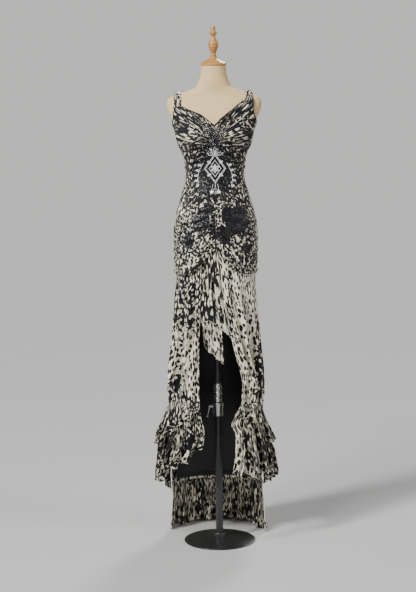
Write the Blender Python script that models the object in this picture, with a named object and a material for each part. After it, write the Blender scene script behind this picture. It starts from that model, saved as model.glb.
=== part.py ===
"""Evening dress on a limbless dress form with a turned wooden neck cap and a round steel stand.

Metres, +Z up. The origin is the middle of the base plate's underside, on the stand's axis.
The dress faces -Y. Angles run round the body from the centre front and are positive towards +X.
Every cloth piece is a thin wall between an outer face, given by a function of two shares, and
the same face moved in by the cloth's thickness.
"""

import math
from collections import namedtuple

import bmesh
import bpy
from mathutils import Matrix, Vector

# Cloth and seams
CLOTH = 0.0015              # thickness of a printed cloth wall
LINING_CLOTH = 0.0010       # thickness of the black lining
SEAM_GAP = 0.0003           # distance between two pieces at a seam
SEAM_TURN = 0.15            # degrees that each piece stays back from an upright seam
LAP = 0.005                 # how far one piece laps over the next at a lapped seam
LAP_RISE = CLOTH + 0.0011   # how far the upper piece of a lapped seam stands above the lower one
EASE = 0.0040               # room between the form and the inside of the fitted dress

# How far the outside of each layer stands off the form
OUTER_LIFT = EASE + CLOTH
TUCKED_LIFT = OUTER_LIFT - CLOTH - 0.0006   # cloth that is tucked under the next piece
SKIRT_LIFT = 0.0049
CENTRE_LIFT = 0.0023        # the centre panel hangs behind the side panels
STRAP_LIFT = CLOTH + 0.0017
HIP_EDGE_FLARE = 0.0029     # how much further out the lower edge of the bodice and hips stands
EDGE_FLARE = 0.0013         # the same for the lower edges of the cups
BACK_FLARE = 0.0010         # the same for the top edge of the bodice back

# Heights and upright seams
NECK_TOP = 1.856
NECK_TILT = math.radians(7)  # the neck's top slopes down towards the front
NECK_FOOT = 1.790           # the tilt starts here
FORM_BOTTOM = 0.985
FITTED_BOTTOM, FITTED_TOP = 0.985, 1.050   # between these the skirt leaves the form
BODICE_TOP = 1.600          # side of the bodice, under the arm
HIP_TOP = 1.330             # where the ruched hip drape starts
TRAIN_SEAM = 0.200          # height of the seam between the back skirt and its train
SIDE = 91.0                 # angle of the side seams, in degrees
BACK_SEAM = 125.0           # angle of the seams between the side skirts and the back skirt

# Folds
CUP_GATHERS, GATHER_DEPTH = 9, 0.0060
TUCKS, TUCK_DEPTH = 3, 0.0035
RUCHE_FOLDS, RUCHE_DEPTH = 7, 0.0055
CENTRE_FOLDS, CENTRE_FOLD_DEPTH = 4, 0.010
FOLDS_ROUND = 20            # vertical folds round the whole skirt
WAVES = 7                   # ruffle waves of each flounce, ruffle and train
WAVE_DEPTH = 0.018          # of a ruffle wave at the hem
FLARE = 0.008               # how far a flounce leans out at its hem
ROWS_PER_TUCK, COLUMNS_PER_WAVE = 3, 4

# The form's horizontal sections. Square is the exponent of the section's rounded outline.
Section = namedtuple("Section", "height half_width front back square")
FORM_SECTIONS = (
    Section(0.985, 0.1380, 0.0940, 0.1080, 2.3),
    Section(1.060, 0.1480, 0.1000, 0.1200, 2.3),
    Section(1.140, 0.1535, 0.1040, 0.1230, 2.3),
    Section(1.210, 0.1560, 0.1060, 0.1180, 2.3),
    Section(1.290, 0.1465, 0.1040, 0.1070, 2.3),
    Section(1.360, 0.1265, 0.0970, 0.0940, 2.3),
    Section(1.440, 0.1075, 0.0890, 0.0850, 2.3),
    Section(1.510, 0.1140, 0.0920, 0.0900, 2.3),
    Section(1.570, 0.1390, 0.1000, 0.0970, 2.3),
    Section(1.600, 0.1430, 0.1020, 0.1000, 2.3),
    Section(1.650, 0.1615, 0.0880, 0.0990, 2.3),
    Section(1.680, 0.1750, 0.0720, 0.0920, 2.3),
    Section(1.710, 0.1820, 0.0560, 0.0800, 2.3),
    Section(1.730, 0.1760, 0.0470, 0.0700, 2.3),
    Section(1.745, 0.1530, 0.0430, 0.0630, 2.2),
    Section(1.757, 0.1120, 0.0430, 0.0580, 2.1),
    Section(1.775, 0.0700, 0.0460, 0.0540, 2.0),
    Section(1.800, 0.0570, 0.0480, 0.0520, 2.0),
    Section(1.830, 0.0490, 0.0480, 0.0500, 2.0),
    Section(1.856, 0.0475, 0.0475, 0.0475, 2.0),
)
BUST_HEIGHT, BUST_APART, BUST_RISE = 1.588, 0.066, 0.028
BUST_SPREAD, BUST_TALL = 0.046, 0.044

# The skirt's horizontal sections, at the troughs of its folds.
SkirtSection = namedtuple("SkirtSection", "height left right front back")
SKIRT_SECTIONS = (
    SkirtSection(0.000, 0.2020, 0.2000, 0.1350, 0.2300),
    SkirtSection(0.120, 0.2080, 0.2020, 0.1350, 0.2200),
    SkirtSection(0.250, 0.2200, 0.2040, 0.1340, 0.2030),
    SkirtSection(0.320, 0.2170, 0.1990, 0.1310, 0.1920),
    SkirtSection(0.440, 0.2020, 0.1740, 0.1240, 0.1700),
    SkirtSection(0.560, 0.1810, 0.1640, 0.1170, 0.1540),
    SkirtSection(0.690, 0.1680, 0.1560, 0.1110, 0.1410),
    SkirtSection(0.800, 0.1550, 0.1490, 0.1070, 0.1330),
    SkirtSection(0.880, 0.1515, 0.1470, 0.1050, 0.1300),
    SkirtSection(0.980, 0.1530, 0.1480, 0.1055, 0.1285),
    SkirtSection(1.050, 0.1540, 0.1530, 0.1065, 0.1275),
    SkirtSection(1.160, 0.1595, 0.1595, 0.1100, 0.1285),
)
SKIRT_SQUARE = 2.2

# Heights of the rings from which the form's skin is made
FORM_RINGS = (
    FORM_BOTTOM, 1.03, 1.08, 1.14, 1.20, 1.26, 1.32, 1.37, 1.41, 1.45, 1.485, 1.515, 1.54, 1.56, 1.58, 1.605,
    1.63, 1.66, 1.69, 1.712, 1.729, 1.742, 1.752, 1.762, 1.774, NECK_FOOT, 1.82, NECK_TOP,
)
FORM_SIDES = 30

# The neck cap and its finial: radius at each height above the neck's top.
Turned = namedtuple("Turned", "radius rise")
NECK_CAP = (
    Turned(0.0470, 0.0003), Turned(0.0490, 0.0020), Turned(0.0488, 0.0075),
    Turned(0.0430, 0.0120), Turned(0.0300, 0.0190), Turned(0.0170, 0.0265),
    Turned(0.0130, 0.0320), Turned(0.0125, 0.0360),
)
FINIAL = (
    Turned(0.0100, 0.0363), Turned(0.0105, 0.0400), Turned(0.0092, 0.0440),
    Turned(0.0125, 0.0530), Turned(0.0172, 0.0640), Turned(0.0192, 0.0740),
    Turned(0.0180, 0.0775), Turned(0.0203, 0.0800), Turned(0.0185, 0.0850),
    Turned(0.0120, 0.0960), Turned(0.0085, 0.1060), Turned(0.0090, 0.1120),
    Turned(0.0138, 0.1190), Turned(0.0138, 0.1240), Turned(0.0085, 0.1310),
    Turned(0.0088, 0.1390), Turned(0.0060, 0.1475),
)

CAP_SIDES, FINIAL_SIDES = 22, 14

# The stand
BASE_RADIUS, BASE_EDGE, BASE_DOME = 0.140, 0.005, 0.012
HUB_RADIUS, HUB_TOP = 0.026, 0.034
LOWER_TUBE_RADIUS, UPPER_TUBE_RADIUS = 0.0145, 0.0125
LOWER_TUBE_TOP, BORE_BOTTOM, UPPER_TUBE_BOTTOM = 0.555, 0.330, 0.360
CLAMP_BOTTOM, CLAMP_TOP, CLAMP_RADIUS = 0.500, 0.553, 0.0215
RIBBED_BOTTOM, RIBBED_TOP, RIB_RADIUS, RIB_GROOVE, RIBS = 0.5553, 0.628, 0.0175, 0.003, 3
FLANGE_RADIUS, FLANGE_BOTTOM, BOSS_BOTTOM, BOSS_RADIUS = 0.045, 0.978, 0.940, 0.019
LEVER_HEIGHT, LEVER_LENGTH, LEVER_LEAN = 0.538, 0.040, math.radians(14)
LEVER_HUB_RADIUS, LEVER_HUB_WIDTH, LEVER_RADIUS, KNOB_RADIUS = 0.0065, 0.0090, 0.0032, 0.0058
CLAMP_BOSS_RADIUS, CLAMP_BOSS_REACH, BEVEL = 0.0070, 0.0060, 0.002
TUBE_SIDES, BASE_SIDES, BAR_SIDES = 16, 36, 12

# Colours: linear red, green, blue, roughness, metallic
FINISHES = {
    "printed_chiffon": (0.36, 0.33, 0.25, 0.62, 0.0),
    "black_lining": (0.010, 0.010, 0.012, 0.45, 0.0),
    "beaded_black": (0.020, 0.020, 0.024, 0.30, 0.2),
    "form_cover": (0.66, 0.56, 0.40, 0.85, 0.0),
    "turned_wood": (0.55, 0.29, 0.10, 0.42, 0.0),
    "black_steel": (0.015, 0.015, 0.017, 0.32, 0.6),
    "chromed_steel": (0.55, 0.55, 0.56, 0.22, 1.0),
}


# Curves and small sums

def mix(a, b, share):
    return a + (b - a) * share


def clamp(value, low=0.0, high=1.0):
    return max(low, min(high, value))


def ease_in(share):
    """A smooth step from 0 to 1."""
    share = clamp(share)
    return share * share * (3 - 2 * share)


def bell(distance):
    return math.exp(-distance * distance)


def slanted_fold(turns):
    """The height, 0 to 1, of folds that rise slowly and fall back steeply, one for each turn."""
    share = turns % 1.0
    return ease_in(share * 1.5) if share < 2 / 3 else ease_in((1 - share) * 3)


def smooth_curve(*points):
    """A function that runs smoothly through the (place, value) points and never overshoots them."""
    xs = [p[0] for p in points]
    ys = [p[1] for p in points]
    slopes = [(ys[i + 1] - ys[i]) / (xs[i + 1] - xs[i]) for i in range(len(xs) - 1)]
    tangents = [slopes[0]]
    for before, after in zip(slopes, slopes[1:]):
        tangents.append(0.0 if before * after <= 0 else 2 * before * after / (before + after))
    tangents.append(slopes[-1])

    def value(x):
        x = clamp(x, xs[0], xs[-1])
        i = 0
        while i < len(xs) - 2 and x > xs[i + 1]:
            i += 1
        width = xs[i + 1] - xs[i]
        t = (x - xs[i]) / width
        start = (1 + 2 * t) * (1 - t) ** 2 * ys[i] + t * (1 - t) ** 2 * width * tangents[i]
        end = t * t * (3 - 2 * t) * ys[i + 1] + t * t * (t - 1) * width * tangents[i + 1]
        return start + end

    return value


def column(sections, name):
    return smooth_curve(*[(s.height, getattr(s, name)) for s in sections])


FORM_WIDTH = column(FORM_SECTIONS, "half_width")
FORM_FRONT = column(FORM_SECTIONS, "front")
FORM_BACK = column(FORM_SECTIONS, "back")
FORM_SQUARE = column(FORM_SECTIONS, "square")
SKIRT_LEFT = column(SKIRT_SECTIONS, "left")
SKIRT_RIGHT = column(SKIRT_SECTIONS, "right")
SKIRT_FRONT = column(SKIRT_SECTIONS, "front")
SKIRT_BACK = column(SKIRT_SECTIONS, "back")

# Edges of the bodice: (distance from the centre front, height) for the necklines, and
# (angle from the centre front, height) for the others
NECKLINE_LEFT = smooth_curve((0, 1.6215), (0.031, 1.648), (0.055, 1.666), (0.088, 1.681), (0.1235, 1.699))
NECKLINE_RIGHT = smooth_curve((0, 1.6215), (0.027, 1.6505), (0.057, 1.674), (0.0755, 1.690), (0.1205, 1.728))
UNDERBUST = smooth_curve((0, 1.548), (9.5, 1.548), (50, 1.530), (SIDE, 1.540))
BACK_TOP = smooth_curve((SIDE, 1.600), (118, 1.604), (140, 1.612), (153, 1.606), (167, 1.583), (180, 1.575))
HIP_SEAM = smooth_curve(
    (-180, 1.062), (-91, 1.062), (-60, 1.058), (-40, 1.066), (-25, 1.092), (-12, 1.130), (-1, 1.152),
    (6, 1.135), (14, 1.105), (24, 1.078), (45, 1.062), (91, 1.062), (180, 1.062),
)
TAB_TOP, TAB_BOTTOM = 1.6060, 1.5490
TAB_TOP_HALF, TAB_HALF = 0.8, 6.0    # half widths of the centre tab, in degrees

# Where each strap joins its cup and the back: distances of its edges from the centre, and the height
Strap = namedtuple("Strap", "neckline inner outer join back_inner back_outer")
STRAPS = {
    "left": Strap(NECKLINE_LEFT, 0.1235, 0.1530, 1.699, 0.085, 0.113),
    "right": Strap(NECKLINE_RIGHT, 0.1205, 0.1480, 1.728, 0.085, 0.113),
}
STRAP_BACK_FOOT = BACK_TOP(146) - LAP
# Shares of the cup's outer edge at which the neckline, the strap and the armhole end
NECKLINE_END, STRAP_END, ARMHOLE_END = 0.42, 0.53, 0.82

# Front edges of the side skirts: (height, angle)
FRONT_EDGE_LEFT = smooth_curve(
    (0.34, -30), (0.38, -22), (0.42, -17), (0.46, -16), (0.51, -20), (0.56, -23), (0.69, -25), (0.80, -26),
    (0.90, -25), (1.00, -23), (1.16, -21),
)
FRONT_EDGE_RIGHT = smooth_curve(
    (0.28, 15), (0.36, 20), (0.45, 22), (0.487, 17), (0.53, 24), (0.57, 31), (0.65, 34), (0.72, 29),
    (0.81, 22), (0.90, 16), (1.00, 9), (1.16, 4),
)
CENTRE_LAP = 2.5            # degrees of the centre panel behind each side panel

# Hems and seams of the skirt: (share of the piece's width from left to right, height)
HEMS = {
    "left": smooth_curve(
        (0, 0.170), (0.2, 0.230), (0.35, 0.252), (0.50, 0.262), (0.58, 0.298), (0.72, 0.318), (0.86, 0.345),
        (1, 0.395),
    ),
    "right": smooth_curve(
        (0, 0.292), (0.2, 0.286), (0.38, 0.300), (0.50, 0.315), (0.62, 0.272), (0.80, 0.235), (1, 0.190),
    ),
}
HEM_CENTRE = smooth_curve((0, 0.878), (0.35, 0.886), (0.6, 0.866), (0.8, 0.840), (1, 0.812))
FLOUNCE_SEAMS = {
    "left": smooth_curve((0, 0.400), (0.25, 0.470), (0.45, 0.545), (0.7, 0.560), (1, 0.545)),
    "right": smooth_curve((0, 0.555), (0.3, 0.550), (0.55, 0.525), (0.75, 0.470), (1, 0.400)),
}
# Lengths of the short ruffles: (share of the width from left to right, length)
RUFFLE_DROPS = {
    "left": smooth_curve((0, 0.050), (0.3, 0.115), (0.55, 0.105), (0.8, 0.050), (1, 0.030)),
    "right": smooth_curve((0, 0.048), (0.12, 0.036), (0.35, 0.070), (0.6, 0.110), (1, 0.050)),
}
RUFFLE_HEADING = 0.06       # share of a ruffle's length above the flounce's top edge

# Depth of the skirt's vertical folds: (height, depth)
FOLD_DEPTH = smooth_curve(
    (0.0, 0.016), (0.3, 0.014), (0.56, 0.010), (0.80, 0.006), (0.98, 0.003), (1.06, 0.0008), (1.16, 0.0),
)

# The train: (share of the width, how far it lies out on the floor), and its lie
TRAIN_REACH = smooth_curve((0.0, 0.014), (0.2, 0.050), (0.5, 0.100), (0.8, 0.050), (1.0, 0.004))
FLOOR_SHARE = 0.70          # share of the train's length that hangs; the rest lies on the floor
FLOOR_LIFT = 0.0019         # of the cloth's upper face where it lies flat
FLOOR_RIDGE, FLOOR_SCALLOP = 0.011, 0.008
TRAIN_FORWARD = 0.035       # how far the right corner of the train is pulled forward

# The lining and the under-drape
LINING_TOP, LINING_BOTTOM, LINING_INSET = 0.955, 0.212, 4
DRAPE_TOP_LEFT, DRAPE_TOP_RIGHT = 0.893, 0.872
DRAPE_LENGTH_LEFT, DRAPE_LENGTH_RIGHT = 0.112, 0.155
DRAPE_FROM, DRAPE_TO = 0.12, 0.72    # shares of the centre panel's width
DRAPE_TURN_BACK, DRAPE_WAVE = 0.034, 0.005


# Surfaces

def section_point(angle, left, right, front, back, square):
    """A point of a rounded section at an angle in radians from the centre front."""
    s, c = math.sin(angle), math.cos(angle)
    reach = (abs(s) ** square + abs(c) ** square) ** (-1 / square)
    width = right if s > 0 else left
    depth = front if c > 0 else back
    return width * reach * s, -depth * reach * c


def form_point(angle, height):
    width = FORM_WIDTH(height)
    x, y = section_point(
        angle, width, width, FORM_FRONT(height), FORM_BACK(height), FORM_SQUARE(height)
    )
    both = bell((x - BUST_APART) / BUST_SPREAD) + bell((x + BUST_APART) / BUST_SPREAD)
    y -= BUST_RISE * both * bell((height - BUST_HEIGHT) / BUST_TALL) * ease_in(math.cos(angle) * 2)
    slope = ease_in((height - NECK_FOOT) / (NECK_TOP - NECK_FOOT))
    return Vector((x, y, height + y * math.tan(NECK_TILT) * slope))


def lifted(surface, u, v, lift, step_u=0.004, step_v=0.0006):
    """A point of surface(u, v) moved out along its normal; u is an angle and v a height."""
    along_u = surface(u + step_u, v) - surface(u - step_u, v)
    along_v = surface(u, v + step_v) - surface(u, v - step_v)
    return surface(u, v) + along_u.cross(along_v).normalized() * lift


def on_form(degrees, height, lift=OUTER_LIFT):
    return lifted(form_point, math.radians(degrees), height, lift)


def front_angle(x, height):
    """The angle in degrees on the front half at which the form reaches out to x at a height."""
    low, high = 0.0, 90.0
    for _ in range(22):
        middle = (low + high) / 2
        if form_point(math.radians(middle), height).x < x:
            low = middle
        else:
            high = middle
    return (low + high) / 2


def shoulder_top(x):
    """The height of the shoulder's top, where the form reaches out only to x."""
    low, high = 1.712, 1.775
    for _ in range(22):
        middle = (low + high) / 2
        if FORM_WIDTH(middle) > x:
            low = middle
        else:
            high = middle
    return (low + high) / 2


def fitted_share(height):
    """0 where the skirt hangs free and 1 where it lies round the hips."""
    return ease_in((height - FITTED_BOTTOM) / (FITTED_TOP - FITTED_BOTTOM))


def skirt_base(angle, height):
    """The skirt's outer face without its folds: it leaves the form below the hips."""
    x, y = section_point(
        angle, SKIRT_LEFT(height), SKIRT_RIGHT(height), SKIRT_FRONT(height), SKIRT_BACK(height), SKIRT_SQUARE
    )
    hanging = Vector((x, y, height))
    fitted = fitted_share(height)
    if fitted == 0:
        return hanging
    return hanging.lerp(lifted(form_point, angle, height, SKIRT_LIFT), fitted)


def skirt_fold(angle, height):
    """How far the cloth stands out at a vertical fold. Folds are unevenly spaced round the skirt."""
    phase = FOLDS_ROUND * angle + 1.1 * math.sin(2 * angle + 0.6) + 0.7 * math.sin(5 * angle)
    crest = 0.5 + 0.5 * math.cos(phase)
    uneven = 0.75 + 0.25 * math.sin(3 * angle + 1.0)
    return FOLD_DEPTH(height) * crest * uneven


def skirt_point(degrees, height, out=0.0, sway=0.0):
    """A point of the skirt's outer face, moved out from it and swayed along it."""
    angle = math.radians(degrees)
    ahead = skirt_base(angle + 0.004, height) - skirt_base(angle - 0.004, height)
    ahead.normalize()
    outward = Vector((ahead.y, -ahead.x, 0))
    return skirt_base(angle, height) + outward * (out + skirt_fold(angle, height)) + ahead * sway


def ruffled_point(degrees, height, u, drop, calm=1.0):
    """A point of a flounce: drop is the share of the way down, and calm is 0 where waves die out."""
    phase = 2 * math.pi * WAVES * u
    swell = 0.82 + 0.18 * math.sin(9 * u + 0.4)
    wave = WAVE_DEPTH * swell * calm * ease_in(drop * 1.2)
    out = LAP_RISE + FLARE * drop * drop + wave * (1 - math.cos(phase)) / 2
    return skirt_point(degrees, height, out, 0.2 * wave * math.sin(phase))


# Building meshes

def make_material(name):
    red, green, blue, roughness, metallic = FINISHES[name]
    material = bpy.data.materials.new(name)
    material.use_nodes = True
    shader = material.node_tree.nodes["Principled BSDF"]
    shader.inputs["Base Color"].default_value = (red, green, blue, 1)
    shader.inputs["Roughness"].default_value = roughness
    shader.inputs["Metallic"].default_value = metallic
    return material


def add_object(name, mesh_builder, material):
    mesh = bpy.data.meshes.new(name)
    bmesh.ops.recalc_face_normals(mesh_builder, faces=mesh_builder.faces)
    if mesh_builder.calc_volume(signed=True) < 0:
        bmesh.ops.reverse_faces(mesh_builder, faces=mesh_builder.faces)
    mesh_builder.to_mesh(mesh)
    mesh_builder.free()
    mesh.materials.append(MATERIALS[material])
    mesh.shade_smooth()
    mesh.set_sharp_from_angle(angle=math.radians(50))
    made = bpy.data.objects.new(name, mesh)
    bpy.context.scene.collection.objects.link(made)
    return made


def face_normal(surface, u, v):
    step = 0.0015
    low_u, high_u = max(0.0, u - step), min(1.0, u + step)
    low_v, high_v = max(0.0, v - step), min(1.0, v + step)
    along_u = surface(high_u, v) - surface(low_u, v)
    along_v = surface(u, high_v) - surface(u, low_v)
    return along_v.cross(along_u).normalized()


def add_wall(name, surface, across, rows, material="printed_chiffon", thickness=CLOTH, inside=None):
    """A closed cloth wall. surface(u, v) gives its outer face. Rows is a count of equal rows or the
    shares at which they lie. Inside is a point behind the wall, or None for the stand's axis."""
    if isinstance(rows, int):
        rows = [j / rows for j in range(rows + 1)]
    down = len(rows) - 1
    shares = [(i / across, v) for v in rows for i in range(across + 1)]
    outer = [surface(u, v) for u, v in shares]
    normals = [face_normal(surface, u, v) for u, v in shares]
    facing = 0.0
    for point, normal in zip(outer, normals):
        behind = inside or Vector((0, 0, point.z))
        facing += normal.dot(point - behind)
    turn = 1 if facing > 0 else -1
    build = bmesh.new()
    front = [build.verts.new(p) for p in outer]
    back = [build.verts.new(p - n * thickness * turn) for p, n in zip(outer, normals)]

    def at(layer, i, j):
        return layer[j * (across + 1) + i]

    for j in range(down):
        for i in range(across):
            for layer in (front, back):
                build.faces.new(
                    [at(layer, i, j), at(layer, i + 1, j), at(layer, i + 1, j + 1), at(layer, i, j + 1)]
                )
    for i in range(across):
        for j in (0, down):
            build.faces.new([at(front, i, j), at(front, i + 1, j), at(back, i + 1, j), at(back, i, j)])
    for j in range(down):
        for i in (0, across):
            build.faces.new([at(front, i, j), at(front, i, j + 1), at(back, i, j + 1), at(back, i, j)])
    return add_object(name, build, material)


def close_rings(build, rings, closed_loop=False):
    """Joins rings of points into a skin. A closed loop joins the last ring to the first; otherwise
    both ends are closed by flat discs."""
    pairs = list(zip(rings, rings[1:]))
    if closed_loop:
        pairs.append((rings[-1], rings[0]))
    else:
        build.faces.new(rings[0])
        build.faces.new(rings[-1])
    for low, high in pairs:
        for k in range(len(low)):
            n = (k + 1) % len(low)
            build.faces.new([low[k], low[n], high[n], high[k]])


def add_turned(name, profile, sides, material, closed_loop=False):
    """A body turned about Z from (radius, height) points, or a ring if the profile is a loop."""
    build = bmesh.new()
    rings = []
    for radius, height in profile:
        turns = [2 * math.pi * k / sides for k in range(sides)]
        rings.append([build.verts.new((radius * math.cos(t), radius * math.sin(t), height)) for t in turns])
    close_rings(build, rings, closed_loop)
    return add_object(name, build, material)


# The dress form

def build_form():
    build = bmesh.new()
    rings = []
    for height in FORM_RINGS:
        turns = [2 * math.pi * k / FORM_SIDES for k in range(FORM_SIDES)]
        rings.append([build.verts.new(form_point(turn, height)) for turn in turns])
    close_rings(build, rings)
    add_object("form_torso", build, "form_cover")
    seat = Matrix.Translation((0, 0, NECK_TOP)) @ Matrix.Rotation(NECK_TILT, 4, "X")
    for name, rows, sides in (("neck_cap", NECK_CAP, CAP_SIDES), ("finial", FINIAL, FINIAL_SIDES)):
        turned = add_turned(name, [(r.radius, r.rise) for r in rows], sides, "turned_wood")
        turned.data.transform(seat)


# The stand

def build_stand():
    inner = BASE_RADIUS - 3 * BEVEL
    base = [
        (BASE_RADIUS - 2 * BEVEL, 0), (BASE_RADIUS, BEVEL), (BASE_RADIUS, BASE_EDGE - 0.001),
        (inner, BASE_EDGE + 0.001), (BASE_RADIUS / 2, BASE_DOME - BEVEL), (HUB_RADIUS + 3 * BEVEL, BASE_DOME),
    ]
    add_turned("base_plate", base, BASE_SIDES, "black_steel")
    hub_foot = BASE_DOME + SEAM_GAP
    bore = LOWER_TUBE_RADIUS + SEAM_GAP
    sleeve = UPPER_TUBE_RADIUS + SEAM_GAP
    hub = [
        (bore, hub_foot), (HUB_RADIUS, hub_foot), (HUB_RADIUS - BEVEL, HUB_TOP - 4 * BEVEL),
        (HUB_RADIUS - 3 * BEVEL, HUB_TOP), (bore, HUB_TOP),
    ]
    add_turned("base_hub", hub, TUBE_SIDES, "black_steel", closed_loop=True)
    lower = [
        (LOWER_TUBE_RADIUS, hub_foot), (LOWER_TUBE_RADIUS, LOWER_TUBE_TOP), (sleeve, LOWER_TUBE_TOP),
        (sleeve, BORE_BOTTOM),
    ]
    add_turned("lower_tube", lower, TUBE_SIDES, "black_steel")
    upper = [(UPPER_TUBE_RADIUS, UPPER_TUBE_BOTTOM), (UPPER_TUBE_RADIUS, BOSS_BOTTOM - SEAM_GAP)]
    add_turned("upper_tube", upper, TUBE_SIDES, "black_steel")
    flange = [
        (BOSS_RADIUS - BEVEL, BOSS_BOTTOM), (BOSS_RADIUS, BOSS_BOTTOM + 2 * BEVEL),
        (BOSS_RADIUS, FLANGE_BOTTOM), (FLANGE_RADIUS, FLANGE_BOTTOM + BEVEL / 2),
        (FLANGE_RADIUS, FORM_BOTTOM - SEAM_GAP),
    ]
    add_turned("pole_flange", flange, TUBE_SIDES, "black_steel")
    pitch = (RIBBED_TOP - RIBBED_BOTTOM) / RIBS
    groove = RIB_RADIUS - RIB_GROOVE
    ribbed = [(sleeve, RIBBED_BOTTOM), (RIB_RADIUS, RIBBED_BOTTOM)]
    for k in range(RIBS):
        foot = RIBBED_BOTTOM + k * pitch
        ribbed.append((RIB_RADIUS, foot + pitch * 0.55))
        ribbed += [(groove, foot + pitch * 0.70), (groove, foot + pitch * 0.90)]
        if k < RIBS - 1:
            ribbed.append((RIB_RADIUS, foot + pitch))
    ribbed.append((sleeve, RIBBED_TOP))
    add_turned("ribbed_collar", ribbed, TUBE_SIDES, "chromed_steel", closed_loop=True)
    build_clamp(bore)


def add_bar(name, start, end, radius, material):
    """A round bar from start to end."""
    axis = end - start
    turn = axis.to_track_quat("Z", "Y").to_matrix().to_4x4()
    build = bmesh.new()
    bmesh.ops.create_cone(
        build, cap_ends=True, segments=BAR_SIDES, radius1=radius, radius2=radius, depth=axis.length,
        matrix=Matrix.Translation((start + end) / 2) @ turn,
    )
    return add_object(name, build, material)


def join_into(target, others):
    """Joins closed objects into the target by Boolean unions and deletes the others."""
    for other in others:
        union = target.modifiers.new("join", "BOOLEAN")
        union.operation = "UNION"
        union.solver = "EXACT"
        union.object = other
        with bpy.context.temp_override(object=target, active_object=target):
            bpy.ops.object.modifier_apply(modifier=union.name)
        bpy.data.objects.remove(other)


def build_clamp(bore):
    ring = [
        (bore, CLAMP_BOTTOM), (CLAMP_RADIUS - BEVEL, CLAMP_BOTTOM), (CLAMP_RADIUS, CLAMP_BOTTOM + BEVEL),
        (CLAMP_RADIUS, CLAMP_TOP - BEVEL), (CLAMP_RADIUS - BEVEL, CLAMP_TOP), (bore, CLAMP_TOP),
    ]
    clamp_body = add_turned("clamp_body", ring, TUBE_SIDES, "chromed_steel", closed_loop=True)
    boss_start = Vector((BEVEL - CLAMP_RADIUS, 0, LEVER_HEIGHT))
    boss_end = Vector((-CLAMP_RADIUS - CLAMP_BOSS_REACH, 0, LEVER_HEIGHT))
    join_into(clamp_body, [add_bar("clamp_boss", boss_start, boss_end, CLAMP_BOSS_RADIUS, "chromed_steel")])
    hub_start = boss_end - Vector((SEAM_GAP, 0, 0))
    hub_end = hub_start - Vector((LEVER_HUB_WIDTH, 0, 0))
    root = (hub_start + hub_end) / 2
    tip = root + Vector((-math.sin(LEVER_LEAN), 0, -math.cos(LEVER_LEAN))) * LEVER_LENGTH
    lever = add_bar("clamp_lever", hub_start, hub_end, LEVER_HUB_RADIUS, "black_steel")
    handle = add_bar("lever_handle", root, tip, LEVER_RADIUS, "black_steel")
    ball = bmesh.new()
    bmesh.ops.create_icosphere(ball, subdivisions=1, radius=KNOB_RADIUS, matrix=Matrix.Translation(tip))
    join_into(lever, [handle, add_object("lever_knob", ball, "black_steel")])
    lever.data.transform(Matrix.Translation(-root))
    lever.location = root    # the lever turns about this point


# The bodice

def cup_edge(share, side):
    """The cup's outer edge as (angle, height): up the neckline, across the strap, down the armhole
    and down the side seam."""
    strap = STRAPS[side]
    side_seam = SIDE - SEAM_TURN
    if share < NECKLINE_END:
        x = mix(2 * SEAM_GAP, strap.inner, share / NECKLINE_END)
        height = strap.neckline(x)
        return front_angle(x, height), height
    if share < STRAP_END:
        x = mix(strap.inner, strap.outer, (share - NECKLINE_END) / (STRAP_END - NECKLINE_END))
        return front_angle(x, strap.join), strap.join
    if share < ARMHOLE_END:
        part = (share - STRAP_END) / (ARMHOLE_END - STRAP_END)
        height = mix(strap.join, BODICE_TOP, part)
        return mix(front_angle(strap.outer, height), side_seam, ease_in(part * 1.6 - 0.6)), height
    return side_seam, mix(BODICE_TOP, UNDERBUST(SIDE), (share - ARMHOLE_END) / (1 - ARMHOLE_END))


def cup_surface(side):
    """A cup: u runs along its outer edge, and v from the centre tab to that edge."""
    sign = -1 if side == "left" else 1

    def surface(u, v):
        edge_angle, edge_height = cup_edge(u, side)
        knot_angle = mix(TAB_TOP_HALF, TAB_HALF, min(1, u * 3)) + 2 * SEAM_TURN
        angle = mix(knot_angle, edge_angle, v)
        height = mix(mix(TAB_TOP, TAB_BOTTOM, u), edge_height, v)
        height += (UNDERBUST(angle) - mix(TAB_BOTTOM, UNDERBUST(SIDE), v)) * u ** 4
        swell = 1.9 * math.sin(math.pi * v) * v ** 1.2 * ease_in(u * 9) * ease_in((1 - u) * 9)
        gather = GATHER_DEPTH * swell * slanted_fold(CUP_GATHERS * u)
        return on_form(sign * angle, height, OUTER_LIFT + EDGE_FLARE * ease_in(u * 10 - 9) + gather)

    return surface


def strap_surface(side):
    """A strap from under the cup, over the shoulder, to under the bodice back."""
    sign = -1 if side == "left" else 1
    strap = STRAPS[side]
    summit = 0.4            # share of the strap's length at the top of the shoulder

    def surface(u, v):
        x = mix(strap.inner, strap.outer, mix(0.05, 0.95, u))
        pleat = 0.0016 * (0.5 - 0.5 * math.cos(4 * math.pi * u))
        shown = ease_in((v - 0.06) / 0.10) * ease_in((0.96 - v) / 0.08)
        lift = mix(TUCKED_LIFT, STRAP_LIFT + pleat, shown)
        top = shoulder_top(x)
        if v <= summit:
            height = mix(strap.join - LAP, top, math.sin(v / summit * math.pi / 2))
            return on_form(sign * front_angle(x, height), height, lift)
        part = (v - summit) / (1 - summit)
        across = mix(x, mix(strap.back_inner, strap.back_outer, u), ease_in(part))
        height = min(mix(STRAP_BACK_FOOT, top, math.cos(part * math.pi / 2)), shoulder_top(across))
        return on_form(sign * (180 - front_angle(across, height)), height, lift)

    return surface


def tab_surface(u, v):
    """The narrow beaded tab that the cups are gathered into."""
    half = mix(TAB_TOP_HALF, TAB_HALF, min(1, v * 3))
    domed = EDGE_FLARE * math.sin(math.pi * u) * math.sin(math.pi * v)
    return on_form(mix(-half, half, u), mix(TAB_TOP - 2 * SEAM_GAP, TAB_BOTTOM, v), OUTER_LIFT + domed)


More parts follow.
